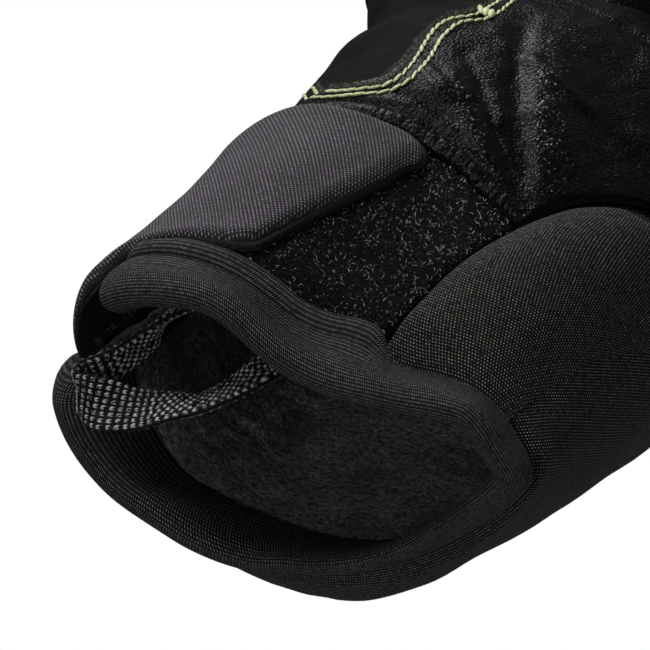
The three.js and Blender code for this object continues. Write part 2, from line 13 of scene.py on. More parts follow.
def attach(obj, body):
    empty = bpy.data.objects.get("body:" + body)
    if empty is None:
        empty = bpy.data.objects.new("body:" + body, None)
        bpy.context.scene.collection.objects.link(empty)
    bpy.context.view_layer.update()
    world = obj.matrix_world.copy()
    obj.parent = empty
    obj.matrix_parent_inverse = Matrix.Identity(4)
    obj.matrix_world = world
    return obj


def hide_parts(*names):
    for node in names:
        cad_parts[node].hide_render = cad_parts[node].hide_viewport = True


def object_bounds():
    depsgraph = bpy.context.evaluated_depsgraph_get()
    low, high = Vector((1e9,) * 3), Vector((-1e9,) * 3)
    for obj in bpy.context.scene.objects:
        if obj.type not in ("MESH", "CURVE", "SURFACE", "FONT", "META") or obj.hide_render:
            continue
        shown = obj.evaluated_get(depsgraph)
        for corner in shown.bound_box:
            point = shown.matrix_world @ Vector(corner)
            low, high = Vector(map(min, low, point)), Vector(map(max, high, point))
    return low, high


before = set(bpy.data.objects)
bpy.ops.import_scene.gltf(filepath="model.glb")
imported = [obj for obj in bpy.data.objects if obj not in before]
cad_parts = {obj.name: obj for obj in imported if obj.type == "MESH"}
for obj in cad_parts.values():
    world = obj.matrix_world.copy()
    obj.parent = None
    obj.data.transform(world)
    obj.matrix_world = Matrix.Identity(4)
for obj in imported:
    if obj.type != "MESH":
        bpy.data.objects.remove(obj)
cad_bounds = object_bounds()

# Camera: a long lens looks down into the wrist mouth, a little from the little-finger side. It is
# aimed at the cuff from three quarters of a metre away.
CAMERA_TARGET = Vector((0.0, -0.090, 0.053))
CAMERA_DISTANCE = 0.75
CAMERA_TURN = math.radians(28)
CAMERA_HEIGHT = math.radians(33)
CAMERA_LENS_MM = 232.6


def in_scene(name, data):
    made = bpy.data.objects.new(name, data)
    bpy.context.scene.collection.objects.link(made)
    return made


camera_data = bpy.data.cameras.new("camera")
camera_data.lens = CAMERA_LENS_MM
camera_data.sensor_width = 36
camera_data.sensor_fit = "HORIZONTAL"
camera = in_scene("camera", camera_data)
camera_side = Vector((
    math.sin(CAMERA_TURN) * math.cos(CAMERA_HEIGHT),
    -math.cos(CAMERA_TURN) * math.cos(CAMERA_HEIGHT),
    math.sin(CAMERA_HEIGHT),
))
camera.location = CAMERA_TARGET + camera_side * CAMERA_DISTANCE
camera.rotation_euler = camera_side.to_track_quat("Z", "Y").to_euler()
bpy.context.scene.camera = camera

# Floor and light: a pure white sheet that lights nothing itself, a large soft light above the thumb
# side, a second one low behind it that draws the glints on the leather, and a weak one in front.
FLOOR_WIDTH = 8.0
FLOOR_GAP = 0.0002
SURROUND_STRENGTH = 0.2
SOFT_LIGHTS = [
    {"name": "key", "place": (-0.50, 0.05, 1.05), "width": 0.42, "power": 10.5},
    {"name": "behind", "place": (-0.62, 0.80, 0.55), "width": 0.4, "power": 6.0},
    {"name": "front", "place": (0.1, -1.25, 0.5), "width": 0.45, "power": 5.0},
]

floor_mesh = bmesh.new()
bmesh.ops.create_grid(floor_mesh, x_segments=1, y_segments=1, size=FLOOR_WIDTH / 2)
floor_data = bpy.data.meshes.new("floor")
floor_mesh.to_mesh(floor_data)
floor_mesh.free()
floor = in_scene("floor", floor_data)
floor.location.z = cad_bounds[0][2] - FLOOR_GAP
floor.visible_diffuse = False
floor.visible_glossy = False
floor.visible_shadow = False
floor_paper = bpy.data.materials.new("white_sheet")
floor_paper.use_nodes = True
floor_sockets = floor_paper.node_tree.nodes["Principled BSDF"].inputs
floor_sockets["Base Color"].default_value = (0, 0, 0, 1)
floor_sockets["Specular IOR Level"].default_value = 0
floor_sockets["Emission Color"].default_value = (1, 1, 1, 1)
floor_sockets["Emission Strength"].default_value = 1.0
floor_data.materials.append(floor_paper)

for soft_light in SOFT_LIGHTS:
    light_data = bpy.data.lights.new(soft_light["name"], "AREA")
    light_data.shape = "SQUARE"
    light_data.size = soft_light["width"]
    light_data.energy = soft_light["power"]
    light = in_scene(soft_light["name"], light_data)
    light.location = soft_light["place"]
    light.rotation_euler = (light.location - CAMERA_TARGET).to_track_quat("Z", "Y").to_euler()

world = bpy.data.worlds.new("surround")
world.use_nodes = True
world.node_tree.nodes["Background"].inputs["Color"].default_value = (1, 1, 1, 1)
world.node_tree.nodes["Background"].inputs["Strength"].default_value = SURROUND_STRENGTH
bpy.context.scene.world = world
bpy.context.scene.view_settings.view_transform = "Standard"

# Cuff cloth: a stretch-woven shell round the wrist, cut as one tube with a slit at the thumb
# side. Its form is the hand's skin: smooth curves through a few sections of the padded cuff.
REST_CENTRE_MM = 110
STATIONS = 10
SHELL_WALL = 2.2
CUFF_FRONT = 9.4
CUFF_FAR = 71.0
SECTION_COLUMNS = (
    "y", "left", "right", "right_side", "palm_a", "palm_b", "palm_c", "palm_d", "palm_e",
    "left_side", "back_a", "back_b", "back_c",
)
SECTIONS = np.array([
    (0, -46, 48, 46, 55, 57, 60, 64.5, 59, 36, 17, 8.5, 24),
    (9, -44.5, 49, 45, 55, 58, 61, 64.5, 58, 37, 13, 6.5, 21),
    (30, -43.5, 50, 41, 59, 64.5, 67, 69, 57, 34, 7, 2.5, 13.5),
    (50, -45, 53, 40, 60, 66.5, 71.2, 72, 56, 32, 3, 0.8, 10.5),
    (70, -48, 55, 38, 57, 67, 73, 73.5, 58, 32, 1.8, -0.6, 7),
    (100, -52, 55, 35, 54, 65, 70.5, 71.5, 55, 29, 1, -1.2, 3),
    (125, -52, 54, 31, 49, 60, 65, 63, 48, 26, 1.2, -1.2, 2),
    (148, -50, 51, 25, 39, 48, 53, 51, 40, 23, 2.5, -1, 3),
    (160, -46, 46, 21, 31, 37, 39, 38, 30, 20, 11, 8, 11),
], dtype=float)
PALM_PLACES = (0.8, 0.45, 0.05, -0.4, -0.78)
BACK_PLACES = (-0.7, 0, 0.7)
# Slit: the stations that it lies between at the mouth, and where its two sides meet.
SLIT_TOP = 5.0
SLIT_BOTTOM = 5.85
SLIT_POINT = 5.38
SLIT_LENGTH = 52
# The mouth's cloth hangs in full from its front to here, in mm along the cuff.
HANG_TO = 9.0


def curves_through(rows, places):
    """Smooth curves through the columns of a table, at places along its first column."""
    known = rows[:, 0]
    last = len(rows) - 1
    places = np.clip(places, known[0], known[-1])
    after = np.clip(np.searchsorted(known, places, side="right"), 1, last)
    before = after - 1
    ahead = np.where(after < last, after + 1, before)
    behind = np.where(before > 0, before - 1, after)
    step = known[after] - known[before]
    part = (places - known[before]) / step
    pull_behind = 0.5 * step / (known[before] - known[behind])
    pull_ahead = 0.5 * step / (known[ahead] - known[after])
    square = part * part
    cube = square * part
    shares = (
        (behind, pull_behind * (2 * square - cube - part)),
        (before, (1 + pull_behind) * cube - (1.5 + 2 * pull_behind) * square
         + (pull_behind - 0.5) * part + 1),
        (after, (1.5 + pull_ahead) * square - (1 + pull_ahead) * cube + 0.5 * part),
        (ahead, pull_ahead * (cube - square)),
    )
    return sum(share[:, None] * rows[index] for index, share in shares)


def unit(rows):
    return rows / np.linalg.norm(rows, axis=1)[:, None]


def skin(y, station, out=0.0):
    """Places in mm on the hand's outside, moved out: the back is pressed flat where it rests."""
    y, station, out = (np.ravel(part) for part in np.broadcast_arrays(y, station, out))
    section = dict(zip(SECTION_COLUMNS, curves_through(SECTIONS, y).T))
    middle = (section["left"] + section["right"]) / 2
    half = (section["right"] - section["left"]) / 2
    corner_x = [section["right"]]
    corner_x += [middle + place * half for place in PALM_PLACES]
    corner_x += [section["left"]]
    corner_x += [middle + place * half for place in BACK_PLACES]
    corner_z = [section[name] for name in SECTION_COLUMNS[3:]]
    corners = np.stack([np.stack(corner_x, 1), np.stack(corner_z, 1)], 2)
    turn = np.mod(station, STATIONS)
    first = np.floor(turn).astype(int)
    part = (turn - first)[:, None]
    rows = np.arange(len(y))
    a, b, c, d = (corners[rows, (first + k) % STATIONS] for k in (-1, 0, 1, 2))
    chord = [np.sqrt(np.linalg.norm(q - p, axis=1))[:, None] for p, q in ((a, b), (b, c), (c, d))]
    leave = ((b - a) / chord[0] - (c - a) / (chord[0] + chord[1]) + (c - b) / chord[1]) * chord[1]
    reach = ((c - b) / chord[1] - (d - b) / (chord[1] + chord[2]) + (d - c) / chord[2]) * chord[1]
    bend = 3 * (c - b) - 2 * leave - reach
    twist = 2 * (b - c) + leave + reach
    place = b + leave * part + bend * part ** 2 + twist * part ** 3
    along = unit(leave + 2 * bend * part + 3 * twist * part ** 2)
    x = place[:, 0] + along[:, 1] * out
    z = np.maximum(place[:, 1] - along[:, 0] * out, np.maximum(0, -out))
    return np.stack([x, y, z], 1)


def smooth_step(part):
    part = np.clip(part, 0, 1)
    return part * part * (3 - 2 * part)


def blend(start, end, part):
    return start + (end - start) * part


def rise(value, start, length):
    """From 0 at a start to 1 a length further on."""
    return smooth_step((value - start) / length)


def fade(distance, length):
    """From 1 where the distance is 0 or less, to 0 from a length on."""
    return smooth_step((length - distance) / length)


def ripple(places, kinds):
    """Soft lumps at places in mm. Each kind is a height in mm, the size of its lumps and a seed."""
    total = np.zeros(len(places))
    for height, size, seed in kinds:
        shift = Vector((seed, -seed, 2 * seed))
        total += height * np.array([noise.noise(Vector(place) / size + shift) for place in places])
    return total


def cloth(name, across, along, shape, closed=False, pattern=None, tone=None):
    """A grid laid out by shape(part across, part along) in mm. Its UV map is in mm of cloth, measured
    on it or given by pattern, and tone gives each place a share from 0 to 1 for its material."""
    grid = bmesh.new()
    bmesh.ops.create_grid(grid, x_segments=across, y_segments=along, size=0.5)
    part = np.array([vert.co[:2] for vert in grid.verts]) + 0.5
    data = bpy.data.meshes.new(name)
    grid.to_mesh(data)
    grid.free()
    places = shape(part[:, 0], part[:, 1])
    if pattern is None:
        rows = places.reshape(along + 1, across + 1, 3)
        steps_across = np.linalg.norm(np.diff(rows, axis=1), axis=2)
        steps_along = np.linalg.norm(np.diff(rows, axis=0), axis=2)
        run_across = np.pad(np.cumsum(steps_across, axis=1), ((0, 0), (1, 0)))
        run_across -= run_across[:, across // 2][:, None]
        run_along = np.pad(np.cumsum(steps_along, axis=0), ((1, 0), (0, 0)))
        flat = np.stack([run_across.ravel(), run_along.ravel()], 1)
    else:
        flat = pattern(part[:, 0], part[:, 1])
    data.vertices.foreach_set("co", to_metres(places).ravel())
    corners = np.empty(len(data.loops), dtype=np.int32)
    data.loops.foreach_get("vertex_index", corners)
    uv_map = data.uv_layers.new(name="cloth")
    uv_map.data.foreach_set("uv", flat[corners].ravel())
    if tone is not None:
        give_share(data, "tone", tone(part[:, 0], part[:, 1]))
    joined = bmesh.new()
    joined.from_mesh(data)
    if closed:
        bmesh.ops.remove_doubles(joined, verts=joined.verts, dist=1e-7)
    face_out(joined)
    joined.to_mesh(data)
    joined.free()
    data.shade_smooth()
    return data


def give_share(data, name, values):
    data.attributes.new(name, "FLOAT", "POINT").data.foreach_set("value", values)


def to_metres(places):
    return (places - np.array([0, REST_CENTRE_MM, 0])) * 0.001


def face_out(grid):
    """Turn an open cloth's faces away from the glove's middle line."""
    middle_height = 0.032
    outward = 0.0
    for face in grid.faces:
        centre = face.calc_center_median()
        outward += face.normal.dot(Vector((centre.x, 0, centre.z - middle_height))) * face.calc_area()
    if outward < 0:
        bmesh.ops.reverse_faces(grid, faces=grid.faces)


def add_piece(name, data, material, replaced=(), wall_mm=0.0, wall_side=-1.0):
    """A piece on the glove's one body. Its wall goes inwards, or outwards at side 1."""
    made = in_scene(name, data)
    data.materials.clear()
    data.materials.append(material)
    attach(made, "root")
    if replaced:
        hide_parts(*replaced)
    if wall_mm:
        wall = made.modifiers.new("wall", "SOLIDIFY")
        wall.thickness = wall_mm * 0.001
        wall.offset = wall_side
        wall.use_rim = True


class Shader:
    """A Principled material with short calls for its maths nodes."""

    def __init__(self, name, roughness=0.8, sheen=0.0, sheen_tint=(1, 1, 1), specular=0.5):
        self.material = bpy.data.materials.new(name)
        self.material.use_nodes = True
        self.tree = self.material.node_tree
        self.surface = self.tree.nodes["Principled BSDF"]
        self.surface.inputs["Roughness"].default_value = roughness
        self.surface.inputs["Sheen Weight"].default_value = sheen
        self.surface.inputs["Sheen Roughness"].default_value = 0.5
        self.surface.inputs["Sheen Tint"].default_value = (*sheen_tint, 1)
        self.surface.inputs["Specular IOR Level"].default_value = specular

    def node(self, kind, **values):
        made = self.tree.nodes.new(kind)
        for name, value in values.items():
            setattr(made, name, value)
        return made

    def put(self, socket, value):
        if isinstance(value, bpy.types.NodeSocket):
            self.tree.links.new(value, socket)
        else:
            socket.default_value = value

    def calc(self, operation, *values):
        made = self.node("ShaderNodeMath", operation=operation)
        for socket, value in zip(made.inputs, values):
            self.put(socket, value)
        return made.outputs[0]

    def times(self, value, other):
        return self.calc("MULTIPLY", value, other)

    def line(self, value, slope, start):
        """The value times a slope, and a start added."""
        return self.calc("MULTIPLY_ADD", value, slope, start)

    def wave(self, value, pitch):
        """From 0 to 1 and back once in every pitch."""
        turn = self.times(value, 2 * math.pi / pitch)
        return self.line(self.calc("SINE", turn), 0.5, 0.5)

    def flat_cloth(self):
        """The two directions of the cloth, in mm."""
        source = self.node("ShaderNodeUVMap", uv_map="cloth")
        split = self.node("ShaderNodeSeparateXYZ")
        self.put(split.inputs[0], source.outputs[0])
        return split.outputs[0], split.outputs[1]

    def stretched(self, size_mm):
        """Object places, counted in steps of a size along each axis."""
        source = self.node("ShaderNodeTexCoord")
        made = self.node("ShaderNodeMapping")
        made.inputs["Scale"].default_value = [1000 / size for size in size_mm]
        self.put(made.inputs["Vector"], source.outputs["Object"])
        return made.outputs["Vector"]

    def attribute(self, name):
        return self.node("ShaderNodeAttribute", attribute_name=name).outputs["Fac"]

    def noise(self, size_mm, detail=3.0, roughness=0.55):
        """Cloudy noise with lumps of one size, or of three along the axes."""
        made = self.node("ShaderNodeTexNoise")
        if isinstance(size_mm, tuple):
            self.put(made.inputs["Vector"], self.stretched(size_mm))
            made.inputs["Scale"].default_value = 1.0
        else:
            source = self.node("ShaderNodeTexCoord")
            self.put(made.inputs["Vector"], source.outputs["Object"])
            made.inputs["Scale"].default_value = 1000 / size_mm
        made.inputs["Detail"].default_value = detail
        made.inputs["Roughness"].default_value = roughness
        return made.outputs["Fac"]

    def ramp(self, value, low, high):
        made = self.node("ShaderNodeMapRange", clamp=True)
        self.put(made.inputs["Value"], value)
        made.inputs["From Min"].default_value = low
        made.inputs["From Max"].default_value = high
        return made.outputs["Result"]

    def colour(self, value, dark, light):
        """Mix of two colours, each given as three numbers or made by other nodes."""
        made = self.node("ShaderNodeMix", data_type="RGBA")
        self.put(made.inputs["Factor"], value)
        for name, tone in (("A", dark), ("B", light)):
            self.put(made.inputs[name], (*tone, 1) if isinstance(tone, tuple) else tone)
        return made.outputs["Result"]

    def glints(self, value, slope, start):
        """Let the surface shine more where a value is high."""
        self.put(self.surface.inputs["Specular IOR Level"], self.line(value, slope, start))

    def finish(self, colour, height, height_mm):
        self.put(self.surface.inputs["Base Color"], colour)
        bump = self.node("ShaderNodeBump")
        bump.inputs["Strength"].default_value = 1.0
        bump.inputs["Distance"].default_value = height_mm * 0.001
        self.put(bump.inputs["Height"], height)
        self.put(self.surface.inputs["Normal"], bump.outputs["Normal"])
        return self.material


def stretch_weave(shader, u, v, dark, light):
    """Rows of small raised floats round the cuff, a little uneven in height and colour. The light colour is a
    painted glint on the float tops; the cloth itself is black.
    """
    pitch_mm = 0.6
    sharpness = 3.4
    rows = shader.wave(v, pitch_mm)
    columns = shader.wave(shader.line(v, 0.5, u), pitch_mm)
    floats = shader.times(rows, columns)
    uneven = shader.ramp(shader.noise(0.8), 0.3, 0.75)
    cloudy = shader.ramp(shader.noise(11.0), 0.2, 0.9)
    lit = shader.times(shader.calc("POWER", floats, sharpness), uneven)
    lit = shader.times(lit, shader.line(cloudy, 0.5, 0.75))
    return shader.colour(lit, dark, light), floats


# The shell's light colour is painted glint on the tops of the floats of a black cloth.
weave_shader = Shader(
    "stretch_weave", roughness=0.75, sheen=0.02, sheen_tint=(0.9, 0.88, 0.8), specular=0.1)
weave_tone, weave_floats = stretch_weave(
    weave_shader, *weave_shader.flat_cloth(), dark=(0.0020, 0.0018, 0.0015), light=(0.57, 0.535, 0.475))
weave_cloth = weave_shader.finish(weave_tone, weave_floats, height_mm=0.14)


# How far the mouth hangs below the padded form. Rows: station, then its seam and its rim in mm.
SETTLE = np.array([
    (0.0, 0.2, -0.9),
    (0.5, 0.5, -1.1),
    (0.75, 0.3, -2.9),
    (1.0, 0.2, -3.8),
    (1.3, 0.2, -3.0),
    (1.7, 0.6, -1.8),
    (2.1, 1.8, -0.6),
    (2.5, 1.4, 0.8),
    (2.7, 1.6, 1.1),
    (2.9, 2.5, 1.0),
    (3.1, 2.9, 0.4),
    (3.3, 2.7, -0.9),
    (3.5, 1.5, -2.4),
    (3.7, 0.4, -3.0),
    (4.1, -1.2, -2.5),
    (4.5, -2.3, -1.8),
    (4.95, -2.7, -1.4),
    (5.3, -1.5, -0.6),
    (5.6, 0.0, 0.0),
    (5.85, 0.2, 0.3),
    (6.1, 1.2, 1.8),
    (6.4, 1.8, 2.8),
    (6.8, 1.7, 2.6),
    (7.2, 0.7, 1.2),
    (7.6, 0.5, 0.8),
    (8.1, 0.6, 1.0),
    (8.6, 0.0, 0.3),
    (9.1, -0.9, -1.6),
    (9.5, -1.0, -2.4),
    (10.0, 0.2, -0.9),
])
# The low side. Rows: station, how far the hem is narrow there, and how far it is lifted as well by
# the shell that swells out under it, each from 0 to 1.
LOW_SIDE = np.array([
    (0.0, 0.75, 0.0),
    (0.5, 0.55, 0.0),
    (1.0, 0.2, 0.0),
    (1.5, 0.0, 0.0),
    (3.0, 0.0, 0.0),
    (6.0, 0.0, 0.0),
    (6.5, 0.5, 0.0),
    (7.0, 1.0, 0.0),
    (7.4, 1.0, 0.0),
    (7.75, 1.0, 0.4),
    (8.05, 1.0, 1.0),
    (9.0, 1.0, 1.0),
    (9.3, 1.0, 0.7),
    (10.0, 0.75, 0.0),
])


def slit_edges(y):
    """Stations of the slit's two sides; past its point they meet."""
    part = np.clip((y + CUFF_FRONT) / (SLIT_LENGTH + CUFF_FRONT), 0, 1)
    return blend(SLIT_TOP, SLIT_POINT, part), blend(SLIT_BOTTOM, SLIT_POINT, part)


def round_mouth(rows, station):
    return curves_through(rows, np.mod(station, STATIONS))


def hang(y, station, front=0.0, reach=7.0):
    """How far in mm the cloth near the mouth has sunk: its seam, or its rim at front 1."""
    sunk = round_mouth(SETTLE, station)
    return blend(sunk[:, 1], sunk[:, 2], front) * fade(y - HANG_TO, reach)


def low_share(station):
    """1 under the mouth, where the hem is narrower and the shell swells out behind its seam."""
    return np.clip(round_mouth(LOW_SIDE, station)[:, 1], 0, 1)


def lifted_share(station):
    """1 where that swell also lifts the hem."""
    return np.clip(round_mouth(LOW_SIDE, station)[:, 2], 0, 1)


# The low side's seam lies this far in front of the others. Behind it the shell swells down to the
# floor, in mm for each station, most of all at one place along the cuff.
LOW_SEAM = 4.4
LOW_SWELL = np.array([
    (0.0, 0.0),
    (1.0, 0.0),
    (6.3, 0.0),
    (7.0, 0.4),
    (7.3, 3.0),
    (7.5, 5.6),
    (7.75, 6.6),
    (7.9, 6.8),
    (8.05, 6.4),
    (8.25, 6.0),
    (8.4, 4.9),
    (8.55, 3.6),
    (8.7, 2.4),
    (8.85, 1.0),
    (9.05, 0.2),
    (9.3, 0.0),
    (10.0, 0.0),
])
SWELL_AT = 12.0
SWELL_NEAR = 4.2
SWELL_FAR = 10.0
# Where the shell's ends are tucked in: how deep, and over what length, in mm.
FRONT_TUCK = (1.3, 2.5)
LOW_TUCK = (2.4, 2.6)
LIFTED_TUCK = (1.6, 1.8)
FAR_TUCK = (0.8, 2.0)
# Soft lumps of the padded cloth, which lies flat on the floor below a height.
CUFF_LUMPS = [(0.35, 14, 0.0)]
LUMPS_ABOVE = 4.0
LUMPS_FADE = 8.0


def tuck(depth_and_length, inside):
    depth, length = depth_and_length
    return depth * fade(inside, length)


def cuff_shape(across, along):
    y = blend(CUFF_FRONT, CUFF_FAR, along)
    top, bottom = slit_edges(y)
    station = blend(bottom, top + STATIONS, across)
    low = low_share(station)
    front = CUFF_FRONT - LOW_SEAM * low
    y = blend(front, CUFF_FAR, along)
    sink = tuck(FRONT_TUCK, y - front) + tuck(FAR_TUCK, CUFF_FAR - y)
    sink += low * tuck(LOW_TUCK, y - front) + lifted_share(station) * tuck(LIFTED_TUCK, y - front)
    reach = np.where(y < SWELL_AT, SWELL_NEAR, SWELL_FAR)
    sink -= round_mouth(LOW_SWELL, station)[:, 1] * np.exp(-((y - SWELL_AT) / reach) ** 2)
    places = skin(y, station, -sink)
    lumps = ripple(places, CUFF_LUMPS) * rise(places[:, 2], LUMPS_ABOVE, LUMPS_FADE)
    places = skin(y, station, lumps - sink)
    places[:, 2] = np.maximum(places[:, 2] - hang(y, station), 0)
    return places


cuff_data = cloth("cuff_body", 190, 64, cuff_shape)
add_piece("cuff_body", cuff_data, weave_cloth, ("cuff_shell",), SHELL_WALL)

# Side panel: the same cloth folded back on itself at its edge, so that it stands beside the pile
# as a soft roll. It runs down the little-finger side and is sewn into the hem and the palm seam.
# Rows: part across the cloth, mm past its edge line, and mm off the skin.
PANEL_SECTION = np.array([
    (0.00, 3.4, 0.5),
    (0.06, 1.0, 0.7),
    (0.12, 0.0, 1.9),
    (0.18, 0.5, 3.2),
    (0.25, 2.1, 4.1),
    (0.34, 4.6, 4.6),
    (0.50, 10.0, 4.5),
    (0.72, 18.0, 3.1),
    (0.90, 25.0, 1.1),
    (1.00, 30.0, 0.0),
])
PANEL_FRONT = 8.9
PANEL_WALL = 1.2
# How its two ends are rounded off: length, power, how far the edge line steps back, and how far the
# cloth sinks in, in mm.
PANEL_NEAR_END = (9.0, 2.2, 1.5, 1.0)
PANEL_FAR_END = (10.0, 2.4, 4.0, 1.6)
PANEL_STEP_FADE = 6.0
PANEL_LUMPS = [(0.45, 17, 3.0), (0.2, 7, 4.0)]
# Where the panel ends, in mm along the cuff, at mm past its edge line.
PANEL_FAR = np.array([
    (0.0, 60.0),
    (4.0, 65.5),
    (10.0, 67.5),
    (18.0, 67.0),
    (30.0, 66.0),
])
# The rolled edge's line: mm along the cuff, and its station.
PANEL_EDGE = np.array([
    (0, 2.6),
    (11, 2.37),
    (27, 2.17),
    (44, 1.95),
    (57, 1.7),
    (75, 1.55),
])
STATION_MM = 19.0


def panel_edge(y):
    return curves_through(PANEL_EDGE, y)[:, 1]


def end_drop(inside, length, power):
    """1 at an end, and 0 from a length in, on a round curve."""
    return 1 - np.sqrt(1 - np.clip((length - inside) / length, 0, 1) ** power)


def panel_shape(across, along):
    section = curves_through(PANEL_SECTION, across)
    far_y = np.interp(section[:, 1], PANEL_FAR[:, 0], PANEL_FAR[:, 1])
    y = blend(PANEL_FRONT, far_y, along)
    near_length, near_power, near_step, near_sink = PANEL_NEAR_END
    far_length, far_power, far_step, far_sink = PANEL_FAR_END
    near_drop = end_drop(y - PANEL_FRONT, near_length, near_power)
    far_drop = end_drop(far_y - y, far_length, far_power)
    edge_back = near_step * near_drop + far_step * far_drop * np.exp(-section[:, 1] / PANEL_STEP_FADE)
    station = panel_edge(y) - (section[:, 1] + edge_back) / STATION_MM
    y = y - LOW_SEAM * low_share(station) * (1 - along) ** 4
    out = section[:, 2] * (1 - 0.9 * near_drop) * (1 - far_drop) - far_sink * far_drop - near_sink * near_drop
    past_roll = rise(across, 0.2, 0.2)
    places = skin(y, station, out + ripple(skin(y, station), PANEL_LUMPS) * past_roll)
    places[:, 2] -= hang(y, station)
    return places


panel_data = cloth("side_panel", 100, 110, panel_shape)
add_piece("side_panel", panel_data, weave_cloth, wall_mm=PANEL_WALL)

# Hem: a band of fine rib knit folded over the front of the cuff, from its seam outside to its
# edge inside. Its two ends are turned in at the slit.
# Rows: part across the band, mm along the cuff, and mm off the skin.
HEM_PROFILE = np.array([
    (0.00, 9.3, -1.0),
    (0.04, 9.2, -0.6),
    (0.08, 8.9, -0.1),
    (0.14, 7.6, 0.45),
    (0.26, 5.0, 0.65),
    (0.40, 2.2, 0.1),
    (0.50, 0.5, -1.1),
    (0.58, 0.0, -2.4),
    (0.66, 0.5, -3.7),
    (0.74, 2.6, -4.9),
    (0.86, 8.0, -5.3),
    (1.00, 16.5, -4.9),
])
# Beside the pile the hem's edge lies up on the pile's, in rows of the same columns.
HEM_FLANGE = np.array([
    (0.00, 12.3, 1.3),
    (0.03, 12.1, 2.1),
    (0.06, 11.2, 2.3),
    (0.09, 10.0, 1.7),
    (0.12, 9.2, 0.5),
    (0.16, 8.2, 0.7),
    (0.26, 5.0, 0.75),
])
# On the low side the band is narrow and its seam is tucked in under it, in the same columns.
HEM_LOW = np.array([
    (0.00, 5.6, -3.6),
    (0.04, 5.4, -3.0),
    (0.08, 5.0, -2.2),
    (0.14, 4.2, -1.4),
    (0.26, 2.7, -0.8),
    (0.40, 1.2, -0.9),
    (0.50, 0.3, -1.6),
    (0.58, 0.0, -2.6),
])
# The whole of its section where the shell lifts it, in the same columns.
HEM_LIFTED = np.array([
    (0.00, 5.8, -3.9),
    (0.04, 5.5, -4.0),
    (0.08, 5.1, -4.0),
    (0.14, 4.4, -4.0),
    (0.26, 3.2, -4.1),
    (0.40, 2.2, -4.4),
    (0.50, 1.7, -4.9),
    (0.58, 1.6, -5.5),
    (0.66, 2.0, -6.1),
    (0.74, 3.6, -6.6),
    (0.86, 8.4, -6.5),
    (1.00, 16.5, -4.9),
])
# Stations where that edge starts to rise and starts to fade, and over how many it does so.
FLANGE_FROM = 2.2
FLANGE_TO = 4.85
FLANGE_FADES = (0.35, 0.15)
HEM_SEAM_ACROSS = 0.09
HEM_AROUND_MM = 250.0
HEM_ACROSS_MM = 24.5
HEM_WALL = 0.9
# The two ends stop short of the slit's sides by these stations and close, over a few mm, towards
# a line in the middle of the band. The low end also turns back to the seam over its corner.
HEM_END_GAPS = (0.06, 0.04)
HEM_END_ROUND = 2.6
HEM_CORNER_ROUND = 6.5
HEM_MIDDLE = 5.6
HEM_CORNER_MIDDLE = 8.2
HEM_CORNER_BACK = 8.6
HEM_CORNER_SHARE = 0.85
HEM_MIDDLE_OUT = -2.2
# Part across the band where the seam's sag starts to give way to the rim's, and over how much.
HEM_SAG_CHANGE = (0.1, 0.45)
HEM_LUMPS = [(0.35, 16, 5.0)]
HEM_LUMPS_FROM = 3.0
HEM_LUMPS_FADE = 6.0
# The ribs run straight up to the seam's part across, and lean the more the further from the fold.
HEM_FOLD = 0.36
HEM_LEAN = 0.85
HEM_SEAM_PART = 0.12
HEM_SEAM_START_MM = -2.6


def round_over(distance, radius, least=0.0):
    """Height of a rounded edge, from 0 or a least height to 1 at a radius in."""
    return np.maximum(least, np.sqrt(1 - (1 - np.clip(distance / radius, 0, 1)) ** 2))


def rib_knit(shader, rib_mm, stitch_mm, height_mm, dark, light, contrast):
    """Ribs of small slanted stitches along the cloth, each stitch a little different. The light colour is a
    painted highlight on the stitch tops, far paler than the yarn.
    """
    u, v = shader.flat_cloth()
    ribs = shader.wave(u, rib_mm)
    loops = shader.wave(shader.line(ribs, stitch_mm * 0.5, v), stitch_mm)
    knit = shader.times(ribs, shader.line(loops, 0.65, 0.35))
    uneven = shader.line(shader.ramp(shader.noise(0.75), 0.3, 0.72), 0.8, 0.2)
    cloudy = shader.line(shader.ramp(shader.noise(14.0), 0.25, 0.8), 0.4, 0.75)
    lit = shader.times(shader.calc("POWER", knit, contrast), uneven)
    return shader.finish(shader.colour(shader.times(lit, cloudy), dark, light), knit, height_mm)


# The hem's light colour is a painted glint on the tops of its black stitches.
knit_cloth = rib_knit(
    Shader("rib_knit", roughness=0.8, sheen=0.012, sheen_tint=(0.9, 0.86, 0.84), specular=0.08),
    rib_mm=0.52, stitch_mm=0.62, height_mm=0.12,
    dark=(0.0036, 0.0032, 0.0032), light=(0.45, 0.415, 0.41), contrast=3.4)


def hem_stations(around):
    top, bottom = slit_edges(np.zeros(1))
    low_gap, high_gap = HEM_END_GAPS
    return blend(bottom[0] + low_gap, top[0] - high_gap + STATIONS, around)


def hem_shape(across, around):
    station = hem_stations(around)
    turn = np.mod(station, STATIONS)
    beside_pile = rise(turn, FLANGE_FROM, FLANGE_FADES[0]) * fade(turn - FLANGE_TO, FLANGE_FADES[1])
    shares = ((HEM_FLANGE, beside_pile), (HEM_LOW, low_share(station)), (HEM_LIFTED, lifted_share(station)))
    profile = curves_through(HEM_PROFILE, across)
    for rows, share in shares:
        last = rows[-1, 0]
        other = curves_through(rows, np.minimum(across, last))
        profile = blend(profile, other, (share * (across <= last))[:, None])
    end = np.minimum(around, 1 - around) * HEM_AROUND_MM
    close = round_over(end, HEM_END_ROUND, 0.02)
    corner = 1 - round_over(around * HEM_AROUND_MM, HEM_CORNER_ROUND)
    y = blend(
        blend(HEM_MIDDLE, HEM_CORNER_MIDDLE, corner),
        blend(profile[:, 1], HEM_CORNER_BACK, corner * HEM_CORNER_SHARE), close)
    out = blend(HEM_MIDDLE_OUT, profile[:, 2], close)
    places = skin(np.maximum(y, 0), station, out)
    places[:, 1] = y + ripple(places, HEM_LUMPS) * fade(y - HEM_LUMPS_FROM, HEM_LUMPS_FADE)
    places[:, 2] -= hang(np.minimum(y, HANG_TO), station, rise(across, *HEM_SAG_CHANGE))
    return places


